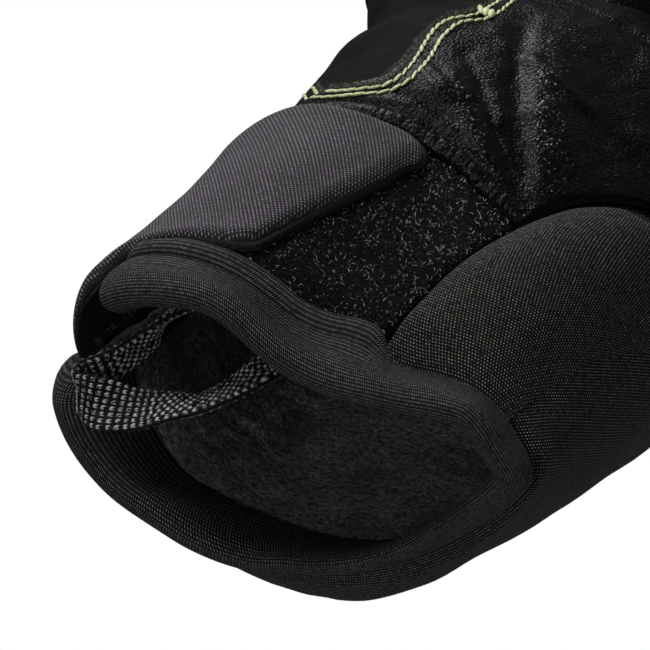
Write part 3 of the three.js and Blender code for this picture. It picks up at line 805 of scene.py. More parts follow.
def hem_pattern(across, around):
    seam = (HEM_SEAM_PART, HEM_SEAM_PART * HEM_ACROSS_MM)
    down = np.interp(across, (0, seam[0], 1), (HEM_SEAM_START_MM, seam[1], HEM_ACROSS_MM))
    lean = np.abs(down - HEM_FOLD * HEM_ACROSS_MM) * HEM_LEAN
    return np.stack([around * HEM_AROUND_MM + lean, down], 1)


hem_data = cloth("cuff_hem_band", 64, 420, hem_shape, pattern=hem_pattern)
add_piece("cuff_hem_band", hem_data, knit_cloth, ("cuff_hem",), HEM_WALL)

# Lining: soft fleece, brushed up into tufts. It lines the cuff and the wrist end of the hand, and is
# caught under the inner edge of the hem.
LINING_FRONT = 8.0
LINING_FAR = 112.0
LINING_OUT = -4.6
LINING_WALL = 0.5
LINING_TUFTS = [(0.45, 4.5, 7.0), (0.25, 2.0, 9.0)]
# Up to here, in mm along the cuff, the tufts are flatter and lie further out, clear of the hem.
LINING_CLEAR_TO = 16.5
LINING_CLEAR_FADE = 3.0
LINING_CLEAR = 0.5
# A dark fold runs inwards on the low side: its station, half its width and its depth, and where it
# starts along the cuff.
LINING_FOLD = (7.05, 0.16, 1.6)
LINING_FOLD_START = (12, 12)


def brushed_fleece():
    shader = Shader("brushed_fleece", roughness=0.95, sheen=0.12, sheen_tint=(0.75, 0.66, 0.7), specular=0.05)
    # Both colours are lighter than the dark fleece itself: painted light inside the mouth, where the lamps
    # barely reach.
    tufts = shader.ramp(shader.noise(1.0, 4.0, 0.6), 0.36, 0.72)
    cloudy = shader.ramp(shader.noise(12.0, 2.0), 0.32, 0.68)
    lit = shader.times(tufts, shader.line(cloudy, 0.75, 0.25))
    return shader.finish(shader.colour(lit, (0.024, 0.021, 0.022), (0.29, 0.255, 0.268)), tufts, 0.4)


def lining_shape(across, along):
    y = blend(LINING_FRONT, LINING_FAR, along)
    top, bottom = slit_edges(y)
    station = blend(bottom, top + STATIONS, across)
    clear = LINING_CLEAR * fade(y - LINING_CLEAR_TO, LINING_CLEAR_FADE)
    tufts = np.maximum(0, ripple(skin(y, station, LINING_OUT), LINING_TUFTS) + 0.3)
    fold_at, fold_wide, fold_deep = LINING_FOLD
    fold = fold_deep * np.exp(-((np.mod(station, STATIONS) - fold_at) / fold_wide) ** 2)
    fold *= rise(y, *LINING_FOLD_START)
    places = skin(y, station, LINING_OUT - tufts * (1 - clear) - fold + clear)
    places[:, 2] -= hang(y, station, front=1.0, reach=16.0)
    return places


lining_data = cloth("fleece_lining", 150, 110, lining_shape)
add_piece("fleece_lining", lining_data, brushed_fleece(), ("cuff_lining",), LINING_WALL, 1.0)

# Hand, fingers and thumb: stretch-woven cloth on the back and between the fingers, and matte
# suede round the thumb, sewn from many small panels and softened where they meet.
FINGER_COLUMNS = (
    "name", "root_x", "root_z", "splay", "rise", "curl", "length", "width", "depth", "root_y",
)
FINGERS = [
    ("index", -37.6, 23.5, -4, 8, 34, 98, 26.4, 25, 138),
    ("middle", -11.6, 25, -1, 9, 30, 107, 27, 26, 138),
    ("ring", 14.2, 24.5, 2, 8, 33, 101, 26.4, 25, 138),
    ("little", 37.4, 20.5, 6, 7, 38, 83, 23.6, 23, 138),
]
THUMB = ("thumb", -15, 50.5, -30, 9, -14, 86, 29.5, 29, 98)
DIGIT_TAPER = 0.14
STRAIGHT_SHARE = 0.6
BODY_VOXEL_MM = 2.0
BODY_WALL = 1.8
BODY_FRONT = 67.0
HAND_END = 160.0
WRIST_OPEN_MM = 1.2
BODY_SMOOTHING = 5
# Crumples of the cloth above the floor: how many lumps to the metre, and their height in metres.
CRUMPLES = ((90, 0.0007), (210, 0.0003))
CRUMPLES_ABOVE = 0.004
# Swell of the ball of the thumb in mm: its middle, its height and its radius.
THUMB_BALL = np.array((-32.0, 98.0, 64.5))
THUMB_BALL_HIGH = 2.2
THUMB_BALL_RADIUS = 10.0


def digit_places(digit, part, turn, out):
    """Places in mm round a finger: part from root to tip, turn from 0 to 1 round it."""
    named = dict(zip(FINGER_COLUMNS, digit))
    length = named["length"] + out
    dome = named["width"] / 2 + out
    straight = length - dome
    past = np.clip((part - STRAIGHT_SHARE) / (1 - STRAIGHT_SHARE), 0, 1)
    run = np.where(part < STRAIGHT_SHARE, part / STRAIGHT_SHARE * straight,
                   straight + np.sin(past * math.pi / 2) * dome)
    splay = math.radians(named["splay"])
    lifted = math.radians(named["rise"])
    bend = math.radians(named["curl"]) / named["length"]
    slope = lifted + bend * run
    forward = (np.sin(slope) - math.sin(lifted)) / bend
    up = (math.cos(lifted) - np.cos(slope)) / bend
    ahead = np.array([math.sin(splay), math.cos(splay), 0])
    side = np.array([math.cos(splay), -math.sin(splay), 0])
    above = np.array([0, 0, 1.0])
    middle = np.array([named["root_x"], named["root_y"], named["root_z"]])
    middle = middle + forward[:, None] * ahead + up[:, None] * above
    top = np.cos(slope)[:, None] * above - np.sin(slope)[:, None] * ahead
    close = np.sqrt(np.maximum(0, 1 - np.clip((run - straight) / dome, 0, 1) ** 2))
    close = np.maximum(close, 0.03)
    taper = 1 - DIGIT_TAPER * run / named["length"]
    wide = (named["width"] / 2 * taper + out) * close
    deep = (named["depth"] / 2 * taper + out) * close
    angle = turn * 2 * math.pi
    return (middle + (np.cos(angle) * wide)[:, None] * side
            + (np.sin(angle) * deep)[:, None] * top)


def closed_cloth(name, across, along, shape, **layout):
    """A cloth that runs round and meets itself, with both of its ends filled."""
    data = cloth(name, across, along, shape, closed=True, **layout)
    grid = bmesh.new()
    grid.from_mesh(data)
    bmesh.ops.holes_fill(grid, edges=[edge for edge in grid.edges if edge.is_boundary], sides=0)
    bmesh.ops.recalc_face_normals(grid, faces=grid.faces)
    grid.to_mesh(data)
    grid.free()
    return data


def hand_form(across, along):
    return skin(blend(BODY_FRONT, HAND_END, along), across * STATIONS, 0)


def digit_form(digit):
    def form(across, along):
        return digit_places(digit, along, across, np.zeros_like(along))
    return form


body_forms = [("hand_form", 90, 60, hand_form)]
body_forms += [("digit_form", 30, 40, digit_form(digit)) for digit in FINGERS + [THUMB]]
body_parts = bmesh.new()
for body_form in body_forms:
    form_data = closed_cloth(*body_form)
    body_parts.from_mesh(form_data)
    bpy.data.meshes.remove(form_data)
rough_data = bpy.data.meshes.new("hand_body")
body_parts.to_mesh(rough_data)
body_parts.free()
carrier = in_scene("carrier", rough_data)
remesh = carrier.modifiers.new("remesh", "REMESH")
remesh.mode = "VOXEL"
remesh.voxel_size = BODY_VOXEL_MM * 0.001
remesh.use_smooth_shade = True
body_graph = bpy.context.evaluated_depsgraph_get()
body_data = bpy.data.meshes.new_from_object(carrier.evaluated_get(body_graph))
bpy.data.objects.remove(carrier)

body_grid = bmesh.new()
body_grid.from_mesh(body_data)
open_end = (BODY_FRONT + WRIST_OPEN_MM - REST_CENTRE_MM) * 0.001
wrist_faces = [face for face in body_grid.faces
               if face.calc_center_median().y < open_end and abs(face.normal.y) > 0.7]
bmesh.ops.delete(body_grid, geom=wrist_faces, context="FACES")
for _ in range(BODY_SMOOTHING):
    bmesh.ops.smooth_vert(
        body_grid, verts=[vert for vert in body_grid.verts if not vert.is_boundary], factor=0.5,
        use_axis_x=True, use_axis_y=True, use_axis_z=True)
for vert in body_grid.verts:
    crumple = sum(noise.noise(vert.co * count) * high for count, high in CRUMPLES)
    if vert.co.z > CRUMPLES_ABOVE:
        vert.co += vert.normal * crumple
    from_ball = (vert.co - Vector(to_metres(THUMB_BALL))).length * 1000
    vert.co += vert.normal * THUMB_BALL_HIGH * 0.001 * math.exp(-(from_ball / THUMB_BALL_RADIUS) ** 2)
    vert.co.z = max(vert.co.z, 0.0)
body_tree = BVHTree.FromBMesh(body_grid)
body_grid.to_mesh(body_data)
body_grid.free()
body_data.shade_smooth()

# Where suede meets woven cloth: 1 on the thumb and the ball of the thumb, 0 past its seam. The
# thumb's suede reaches a distance from its middle line, the ball's lies within three planes, in mm.
SUEDE_REACH = 24
SUEDE_LEFT_OF = 4
SUEDE_ABOVE = 28
SUEDE_BEFORE = 146

body_places = np.empty(len(body_data.vertices) * 3)
body_data.vertices.foreach_get("co", body_places)
body_places = body_places.reshape(-1, 3) * 1000 + np.array([0, REST_CENTRE_MM, 0])
thumb_run = np.linspace(0, 1, 40)
thumb_sides = [digit_places(THUMB, thumb_run, np.full(40, turn), np.zeros(40)) for turn in (0, 0.5)]
thumb_middle = (thumb_sides[0] + thumb_sides[1]) / 2
from_thumb = np.min(np.linalg.norm(body_places[:, None, :] - thumb_middle[None, :, :], axis=2), axis=1)
on_ball = (body_places[:, 0] < SUEDE_LEFT_OF) & (body_places[:, 2] > SUEDE_ABOVE)
on_ball &= body_places[:, 1] < SUEDE_BEFORE
give_share(body_data, "suede", ((from_thumb < SUEDE_REACH) | on_ball).astype(float))


def hand_cloth():
    """Woven cloth in plain Object directions, and black suede where its share is 1. The woven cloth's light
    colour is a painted glint on the tops of its floats.
    """
    shader = Shader("hand_cloth", roughness=0.85, specular=0.04)
    split = shader.node("ShaderNodeSeparateXYZ")
    shader.put(split.inputs[0], shader.node("ShaderNodeTexCoord").outputs["Object"])
    drift = shader.times(shader.noise(2.0, 2.0), 3.0)
    u = shader.line(shader.calc("ADD", split.outputs[0], split.outputs[2]), 1000.0, drift)
    v = shader.line(split.outputs[1], 1000.0, drift)
    woven, floats = stretch_weave(shader, u, v, dark=(0.0035, 0.0032, 0.0030), light=(0.17, 0.16, 0.148))
    nap = shader.ramp(shader.noise(6.0, 4.0), 0.3, 0.75)
    nap = shader.colour(nap, (0.0026, 0.0024, 0.0025), (0.007, 0.0065, 0.0067))
    suede = shader.ramp(shader.attribute("suede"), 0.45, 0.55)
    height = shader.times(floats, shader.calc("SUBTRACT", 1.0, suede))
    height = shader.line(shader.noise(0.5), 0.4, height)
    return shader.finish(shader.colour(suede, woven, nap), height, 0.12)


add_piece(
    "hand_body", body_data, hand_cloth(),
    ("hand_shell", "finger_index", "finger_middle", "finger_ring", "finger_little", "thumb"), BODY_WALL)

# Palm leather: one pebbled goat skin over the palm, pulled into creases at the wrist and fitted
# over the ball of the thumb and the roots of the fingers. Rows: place along the glove, and the
# stations of its two side edges.
LEATHER_EDGES = np.array([
    (50, 1.95, 4.95),
    (58, 1.80, 4.95),
    (62, 1.68, 4.90),
    (64, 1.60, 4.72),
    (65.4, 1.55, 4.28),
    (66.6, 1.50, 4.02),
    (69, 1.40, 3.90),
    (76, 0.9, 3.85),
    (84, 0.35, 3.86),
    (95, 0.12, 3.85),
    (104, 0.1, 3.70),
    (112, 0.1, 3.68),
    (122, 0.2, 3.85),
    (136, 0.25, 4.5),
    (152, 0.35, 4.9),
])
LEATHER_CORNER = 2.1
# The leather's wrist edge: station, and mm along the cuff.
LEATHER_FRONT = np.array([
    (2.1, 46.6),
    (2.5, 49.6),
    (2.9, 52.7),
    (3.3, 54.8),
    (3.8, 55.5),
    (4.9, 56.0),
])
LEATHER_HEM_WIDTH = 4.4
LEATHER_UNDER_HEM = 0.8
LEATHER_WALL = 1.3
# Part along the leather, and mm behind its front: up to the second row it follows the wrist edge.
LEATHER_ROWS = np.array([
    (0.0, 0.0),
    (0.3, 14.0),
    (1.0, 102.0),
])
LEATHER_ACROSS = 150
LEATHER_ALONG = 210
LEATHER_SMOOTHING = 14
# Its height off what lies beneath and the least it may have, and its edge's tuck, in mm.
LEATHER_OUT = 1.9
LEATHER_LEAST_OUT = 0.9
LEATHER_TUCK = (0.9, 2.2)
LEATHER_LUMPS = [(0.4, 12, 4.0)]
# Finer lumps, drawn out along the glove.
LEATHER_FINE = [(0.24, 3.2, 2.0)]
LEATHER_DRAWN_OUT = np.array([1, 0.55, 1])
# Height from which what lies beneath is looked for, in mm.
CAST_FROM = 34.0
# Folds: three places on each, in mm along and in stations, then height and width in mm and how
# much painted glint its grain gets.
LEATHER_FOLDS = [
    (49.5, 2.20, 55.0, 2.80, 58.0, 3.40, -1.1, 1.2, 0.0),
    (58.0, 3.40, 58.8, 3.80, 59.2, 4.30, -1.0, 1.1, 0.0),
    (55.0, 1.84, 76.0, 2.50, 116.0, 3.16, 0.5, 3.4, 0.9),
    (52.0, 2.12, 74.0, 2.76, 108.0, 3.30, -1.4, 1.8, 0.0),
    (49.5, 2.30, 59.0, 2.78, 80.0, 3.56, 0.6, 1.3, 0.8),
    (51.0, 2.14, 62.0, 2.66, 84.0, 3.42, -0.7, 1.2, 0.0),
    (54.0, 2.62, 60.5, 2.95, 77.0, 3.66, 0.5, 0.9, 0.45),
    (61.0, 3.06, 66.0, 3.30, 74.0, 3.66, 0.4, 0.8, 0.35),
    (66.0, 3.66, 70.0, 3.38, 68.0, 3.06, 1.0, 5.5, 0.25),
    (60.5, 3.80, 61.0, 3.45, 59.5, 3.05, 0.5, 0.9, 0.45),
    (64.5, 3.80, 63.5, 3.40, 61.0, 3.00, -0.4, 0.8, 0.0),
    (62.0, 1.60, 84.0, 2.05, 120.0, 2.55, -0.8, 5.0, 0.0),
    (95.0, 3.30, 88.0, 2.70, 84.0, 2.00, 0.5, 1.8, 0.1),
    (128.0, 3.6, 121.0, 2.4, 118.0, 0.9, -0.8, 2.0, 0.0),
]


def pebbled_leather():
    """Pebbles with fine grain between them. Crinkles flash, most of all along the folds marked by the tone
    share: they shine more, and their colour is painted pale as glints.
    """
    shader = Shader("goat_leather", roughness=0.3, specular=0.09)
    cells = shader.node("ShaderNodeTexVoronoi")
    shader.put(cells.inputs["Vector"], shader.stretched((0.62, 0.85, 0.62)))
    cells.inputs["Scale"].default_value = 1.0
    pebble = shader.ramp(cells.outputs["Distance"], 0.62, 0.05)
    crinkle = shader.noise((0.55, 1.1, 0.7), 2.5, 0.6)
    flash = shader.ramp(shader.line(shader.attribute("tone"), 0.16, crinkle), 0.68, 0.765)
    flash = shader.times(flash, shader.calc("POWER", pebble, 1.3))
    worn = shader.ramp(shader.noise(6.0, 4.0), 0.35, 0.7)
    height = shader.line(shader.noise(0.5, 4.0, 0.6), 0.25, pebble)
    height = shader.line(crinkle, 0.8, height)
    plain = shader.colour(shader.times(pebble, worn), (0.0018, 0.0016, 0.0017), (0.0100, 0.0092, 0.0094))
    shader.glints(flash, 0.8, 0.03)
    # The pale colour where the crinkles flash is a painted glint.
    return shader.finish(shader.colour(flash, plain, (0.2, 0.197, 0.192)), height, 0.1)


goat_leather = pebbled_leather()


def leather_front(station):
    return curves_through(LEATHER_FRONT, station)[:, 1]


def fold_heights(y, station):
    """Sum of the folds and of their shine. Each dies away from a curve through its three places."""
    height = np.zeros(len(y))
    shine = np.zeros(len(y))
    here = np.stack([y, station * STATION_MM], 1)
    part = np.linspace(0, 1, 16)[:, None]
    for y0, s0, y1, s1, y2, s2, high, wide, shines in LEATHER_FOLDS:
        ends = np.array([(y0, s0 * STATION_MM), (y1, s1 * STATION_MM), (y2, s2 * STATION_MM)])
        curve = (ends[0] * (1 - part) * (1 - 2 * part) + ends[1] * 4 * part * (1 - part)
                 + ends[2] * part * (2 * part - 1))
        steps = np.diff(curve, axis=0)
        reach = here[:, None, :] - curve[None, :-1, :]
        share = np.clip(np.sum(reach * steps, axis=2) / np.sum(steps ** 2, axis=1), 0, 1)
        away = np.linalg.norm(reach - share[:, :, None] * steps, axis=2)
        nearest = np.argmin(away, axis=1)
        run = (nearest + np.take_along_axis(share, nearest[:, None], 1)[:, 0]) / len(steps)
        taper = np.sin(math.pi * np.clip(run, 0.03, 0.97)) ** 0.6
        near = taper * np.exp(-(np.min(away, axis=1) / wide) ** 2)
        height += high * near
        shine += shines * near
    return height, np.clip(shine, 0, 1)


def over_body(base, outward):
    """Lift places in mm, along their outward directions, onto the sewn hand beneath."""
    lifted = np.zeros(len(base))
    for index, (place, direction) in enumerate(zip(base, outward)):
        start = Vector(to_metres(place + direction * CAST_FROM))
        hit = body_tree.ray_cast(start, Vector(-direction), CAST_FROM * 0.0014)
        if hit[0] is not None:
            lifted[index] = max(0.0, CAST_FROM - hit[3] * 1000)
    return lifted


def away_from_skin(y, station):
    return unit(skin(y, station, 1.0) - skin(y, station, 0.0))


def leather_spot(across, along):
    """Place along the cuff and station at a spot of the leather, and mm in from its side edge."""
    behind = curves_through(LEATHER_ROWS, along)[:, 1]
    y_row = LEATHER_EDGES[0, 0] + behind
    edges = np.stack([np.interp(y_row, LEATHER_EDGES[:, 0], LEATHER_EDGES[:, k]) for k in (1, 2)], 1)
    station = blend(edges[:, 0], edges[:, 1], across)
    front = leather_front(station) + LEATHER_HEM_WIDTH / 2 - LEATHER_UNDER_HEM
    y = y_row + (front - LEATHER_EDGES[0, 0]) * np.clip(1 - behind / LEATHER_ROWS[1, 1], 0, 1)
    edge_in = np.minimum(across, 1 - across) * (edges[:, 1] - edges[:, 0]) * STATION_MM
    return y, station, edge_in


def leather_shape(across, along):
    y, station, edge_in = leather_spot(across, along)
    base = skin(y, station, 0)
    outward = away_from_skin(y, station)
    grid = over_body(base, outward).reshape(LEATHER_ALONG + 1, LEATHER_ACROSS + 1)
    for _ in range(LEATHER_SMOOTHING):
        grid[1:-1, 1:-1] = (grid[1:-1, 1:-1] * 2 + grid[:-2, 1:-1] + grid[2:, 1:-1]
                            + grid[1:-1, :-2] + grid[1:-1, 2:]) / 6
    folds = fold_heights(y, station)[0] * rise(y, leather_front(station), 6)
    lumps = ripple(base * LEATHER_DRAWN_OUT, LEATHER_FINE) + ripple(base, LEATHER_LUMPS)
    out = grid.ravel() + LEATHER_OUT + folds + lumps * rise(edge_in, 0, 3) - tuck(LEATHER_TUCK, edge_in)
    return base + outward * np.maximum(out, LEATHER_LEAST_OUT)[:, None]


# Share of painted glint at each spot of the leather, from the folds near it.
def leather_glint_share(across, along):
    y, station = leather_spot(across, along)[:2]
    return fold_heights(y, station)[1]


leather_data = cloth("palm_leather", LEATHER_ACROSS, LEATHER_ALONG, leather_shape, tone=leather_glint_share)
add_piece("palm_leather", leather_data, goat_leather, ("leather_palm",), LEATHER_WALL)

# Gathered roll: the wrist edge of the leather, turned over an elastic that draws it into small
# gathers. It lies over the front of the palm leather, just behind the pile.
ROLL_STEPS = 260
# It starts before the leather's corner, ends at a station, and closes over a few mm at both ends.
ROLL_START = LEATHER_CORNER - 0.18
ROLL_END = 4.8
ROLL_LONG = 50.0
ROLL_CLOSE = 1.6
ROLL_HIGH = 1.15
ROLL_OUT = 2.3
ROLL_BEFORE = 0.3
# Its gathers come in steps that wander a little. Rows: height in mm, radians to the mm, and start.
GATHER_MM = 2.2
GATHER_WANDER = ((0.9, 0.83, 0), (0.5, 2.1, 1))
ROLL_LUMPS = [(0.16, 1.4, 6.0)]


def roll_shape(across, along):
    station = blend(ROLL_START, ROLL_END, along)
    run = along * (ROLL_END - LEATHER_CORNER) * STATION_MM
    wander = run + sum(high * np.sin(run * turns + start) for high, turns, start in GATHER_WANDER)
    gather = np.abs(np.sin(wander * math.pi / GATHER_MM)) ** 0.55
    wide = LEATHER_HEM_WIDTH / 2 * (0.92 + 0.08 * gather)
    high = ROLL_HIGH * (0.84 + 0.18 * gather)
    angle = across * 2 * math.pi
    close = round_over(np.minimum(along, 1 - along) * ROLL_LONG, ROLL_CLOSE, 0.02)
    y = leather_front(station) - ROLL_BEFORE + np.cos(angle) * wide * close + 0.25 * np.sin(run * 0.5)
    places = skin(y, station, ROLL_OUT + np.sin(angle) * high * close)
    return places + ripple(places, ROLL_LUMPS)[:, None] * np.array([0, 0.5, 1.0])


def roll_glint_share(across, along):
    """Share of painted glint: most on the crest, and most of all on the thumb side."""
    return 0.5 * np.exp(-((across - 0.3) / 0.09) ** 2) * (0.4 + 0.6 * rise(along, 0.35, 0.2))


roll_data = closed_cloth("leather_roll", 26, ROLL_STEPS, roll_shape, tone=roll_glint_share)
add_piece("leather_roll", roll_data, goat_leather, ("leather_hem",))

# Finger leather: the same goat skin on the palm side of each finger, sewn down along its edges and
# creased where the finger bends.
FINGER_LEATHER_START = 27.0
FINGER_LEATHER_END = 0.93
FINGER_LEATHER_TURN = 0.045
FINGER_LEATHER_WIDE = 34
FINGER_LEATHER_LONG = 66
FINGER_TUCK = (0.9, 2.0)
FINGER_LUMPS = [(0.35, 6, 8.0)]
# Creases: parts along the leather, and their depth in mm and width as a part.
CREASES = (0.16, 0.2, 0.5, 0.55)
CREASE_DEEP = 0.9
CREASE_WIDE = 0.018


def from_edge(across, along, wide, long):
    """How far in a spot lies from the nearest edge of a cloth of this size, in mm."""
    return np.minimum(np.minimum(across, 1 - across) * wide, np.minimum(along, 1 - along) * long)


def finger_leather_form(digit):
    named = dict(zip(FINGER_COLUMNS, digit))
    start = STRAIGHT_SHARE * FINGER_LEATHER_START / (named["length"] - named["width"] / 2) - 0.05

    def form(across, along):
        part = blend(start, FINGER_LEATHER_END, along)
        turn = blend(FINGER_LEATHER_TURN, 0.5 - FINGER_LEATHER_TURN, across)
        edge = from_edge(across, along, FINGER_LEATHER_WIDE, FINGER_LEATHER_LONG)
        crease = sum(CREASE_DEEP * np.exp(-((along - place) / CREASE_WIDE) ** 2) for place in CREASES)
        crease = crease * np.sin(math.pi * across) ** 0.7
        places = digit_places(digit, part, turn, LEATHER_OUT - crease - tuck(FINGER_TUCK, edge))
        return places + ripple(places, FINGER_LUMPS)[:, None] * np.array([0, 0, 1.0])
    return form


for digit in FINGERS:
    finger_name = f"leather_{digit[0]}"
    finger_data = cloth(f"{finger_name}_skin", 44, 100, finger_leather_form(digit))
    add_piece(
        f"{finger_name}_skin", finger_data, goat_leather, (finger_name,), LEATHER_WALL)

# Pile: the loop side of the fastener, a low black brush that is sewn flat on the palm side of the
# cuff. A few of its hairs are painted near white, as glints.
PILE_THICK = 1.6
PILE_LEFT = 4.85
PILE_FRONT = 10.2
PILE_EDGE_MM = 1.4
PILE_OUT = 0.4
PILE_WALL = 0.4
PILE_GAPS = (0.02, 0.1)
PILE_LUMPS = [(0.3, 2.0, 1.0)]
PILE_HAIRS = 16000
PILE_BRIGHT = 0.16


def pile_spot(across, along):
    edge_gap, hem_gap = PILE_GAPS
    far = leather_front(blend(LEATHER_CORNER, PILE_LEFT, across)) - LEATHER_HEM_WIDTH / 2 - hem_gap
    y = blend(PILE_FRONT, far, along)
    return y, blend(panel_edge(y) + edge_gap, PILE_LEFT, across)


def pile_shape(across, along):
    y, station = pile_spot(across, along)
    out = PILE_OUT + PILE_THICK * rise(from_edge(across, along, 48, 42), 0, PILE_EDGE_MM)
    places = skin(y, station, out + ripple(skin(y, station), PILE_LUMPS))
    places[:, 2] -= hang(y, station)
    return places


pile_shader = Shader("pile_ground", roughness=0.95, specular=0.05)
pile_tone = pile_shader.ramp(pile_shader.noise(0.8), 0.4, 0.8)
pile_tone = pile_shader.colour(pile_tone, (0.0015, 0.0015, 0.0015), (0.006, 0.006, 0.006))
pile_ground = pile_shader.finish(pile_tone, pile_shader.noise(0.7), 0.4)
pile_data = cloth("pile_base", 96, 84, pile_shape)
add_piece("pile_base", pile_data, pile_ground, ("pile_patch",), PILE_WALL)


def hairs(name, roots, rises, side, length_mm, width_mm, bend, tones, rng):
    """Closed three-sided hairs in two lengths, from roots in mm along their rises."""
    count = len(roots)
    long = (length_mm * rng.uniform(0.55, 1.3, count))[:, None]
    lean = side * (bend * rng.uniform(0.2, 1.3, count))[:, None]
    middle = roots + (rises + lean * 0.35) * long * 0.5
    tip = middle + (rises * 0.6 + lean) * long * 0.5
    first = unit(np.cross(rises, side))
    second = np.cross(rises, first)
    corners = [first * math.cos(turn) + second * math.sin(turn) for turn in (0, 2.094, 4.189)]
    rings = [roots + corner * width_mm / 2 for corner in corners]
    rings += [middle + corner * width_mm * 0.45 for corner in corners] + [tip]
    places = to_metres(np.stack(rings, 1).reshape(-1, 3))
    start = (np.arange(count) * len(rings))[:, None]
    quads = np.array([(0, 1, 4, 3), (1, 2, 5, 4), (2, 0, 3, 5)])
    ends = np.array([(0, 2, 1), (3, 4, 6), (4, 5, 6), (5, 3, 6)])
    faces = (start[:, None] + quads[None]).reshape(-1, 4).tolist()
    faces += (start[:, None] + ends[None]).reshape(-1, 3).tolist()
    data = bpy.data.meshes.new(name)
    data.from_pydata(places.tolist(), [], faces)
    give_share(data, "tone", np.repeat(tones, len(rings)))
    data.shade_smooth()
    return data


def hair_material(name, dark, light, roughness):
    shader = Shader(name, roughness=roughness, specular=0.15)
    tone = shader.attribute("tone")
    return shader.finish(shader.colour(tone, dark, light), tone, 0.001)


pile_rng = np.random.default_rng(11)
pile_across = pile_rng.uniform(0.01, 0.8, PILE_HAIRS)
pile_along = pile_rng.uniform(0.03, 0.99, PILE_HAIRS)
pile_y, pile_station = pile_spot(pile_across, pile_along)
pile_rises = away_from_skin(pile_y, pile_station)
pile_turn = pile_rng.uniform(0, 2 * math.pi, PILE_HAIRS)
pile_side = np.stack([np.cos(pile_turn), np.sin(pile_turn), 0 * pile_turn], 1)
pile_side -= pile_rises * np.sum(pile_side * pile_rises, axis=1)[:, None]
pile_lift = pile_rng.uniform(1.3, 2.1, PILE_HAIRS)
pile_roots = skin(pile_y, pile_station, pile_lift)
pile_roots[:, 2] -= hang(pile_y, pile_station)
# A share of the hairs get a near-white tone: painted glints on the black nylon.
pile_tones = np.where(
    pile_rng.random(PILE_HAIRS) < PILE_BRIGHT, pile_rng.uniform(0.5, 1.0, PILE_HAIRS),
    pile_rng.uniform(0.0, 0.04, PILE_HAIRS))
pile_hair_data = hairs(
    "pile_hairs", pile_roots, pile_rises, pile_side, length_mm=0.7, width_mm=0.068, bend=1.8,
    tones=pile_tones, rng=pile_rng)
pile_hair = hair_material("pile_hair", dark=(0.001, 0.001, 0.001), light=(1.0, 0.99, 0.96), roughness=0.4)
add_piece("pile_hairs", pile_hair_data, pile_hair)

# Wrist strap: two layers of smooth knit. The upper one is padded and the hook layer shows below
# it as a fine rounded rim. Sewn on inside the slit, it crosses to the palm and lies on the pile.
# Rows: station, its front and far edges in mm along the cuff, and their heights off the skin.
STRAP_LINES = np.array([
    (2.85, 12.5, 50.4, 2.5, 2.9),
    (3.4, 12.5, 51.4, 2.5, 3.0),
    (3.8, 12.5, 52.0, 2.5, 3.2),
    (4.2, 12.7, 53.2, 2.5, 3.6),
    (4.75, 12.2, 54.0, 2.6, 3.8),
    (5.1, 9.8, 54.0, 3.0, 3.6),
    (5.3, 7.2, 53.8, 3.0, 3.4),
    (5.5, 6.0, 53.6, 3.0, 3.2),
    (5.8, 6.0, 53.0, 3.0, 3.2),
    (6.2, 8.0, 52.0, 3.0, 3.2),
])
# The tip's line, from the front edge to the far one, in stations.
STRAP_TIP = np.array([
    (0.0, 3.74),
    (0.4, 3.43),
    (0.75, 3.19),
    (0.92, 3.10),
    (1.0, 3.02),
])
STRAP_NEAR_ROUND = 7.5
STRAP_FAR_ROUND = 4.5
# Beside the slit's lower side the strap bends straight down into it, in mm for each station.
STRAP_DIVE = 10.6
STRAP_DIVE_FROM = 0.42
STRAP_DIVE_SOFT = 0.006
STRAP_ROOT_PAST = 0.45
# Past this station the strap no longer follows the mouth's sag.
STRAP_SAG_TO = 4.7
STRAP_SAG_FADE = 0.5
STRAP_LUMPS = [(0.45, 19, 12.0), (0.16, 7, 13.0)]
# The knit's ribs run straight across the strap, and the strap lies at a slant.
STRAP_SLANT = math.radians(28)

# In both strap knits the light colour is a painted highlight on the stitch tops, over the yarn's own dark
# purple-grey; it is faint on the hook layer.
strap_cloth = rib_knit(
    Shader("strap_knit", roughness=0.75, sheen=0.04, sheen_tint=(0.85, 0.78, 0.88), specular=0.2),
    rib_mm=0.54, stitch_mm=0.48, height_mm=0.09,
    dark=(0.0082, 0.0066, 0.0086), light=(0.46, 0.405, 0.475), contrast=3.4)
hook_cloth = rib_knit(
    Shader("strap_under_knit", roughness=0.8, specular=0.1), rib_mm=0.4, stitch_mm=0.4, height_mm=0.04,
    dark=(0.0050, 0.0044, 0.0052), light=(0.042, 0.037, 0.043), contrast=2.0)


def there_and_back(part):
    return np.where(part < 0.5, part * 2, 2 - part * 2)


def corner_cut(from_tip, radius):
    """How far a round corner of the strap cuts in from its edge, in mm."""
    return radius - np.sqrt(radius ** 2 - (radius - np.minimum(from_tip, radius)) ** 2)


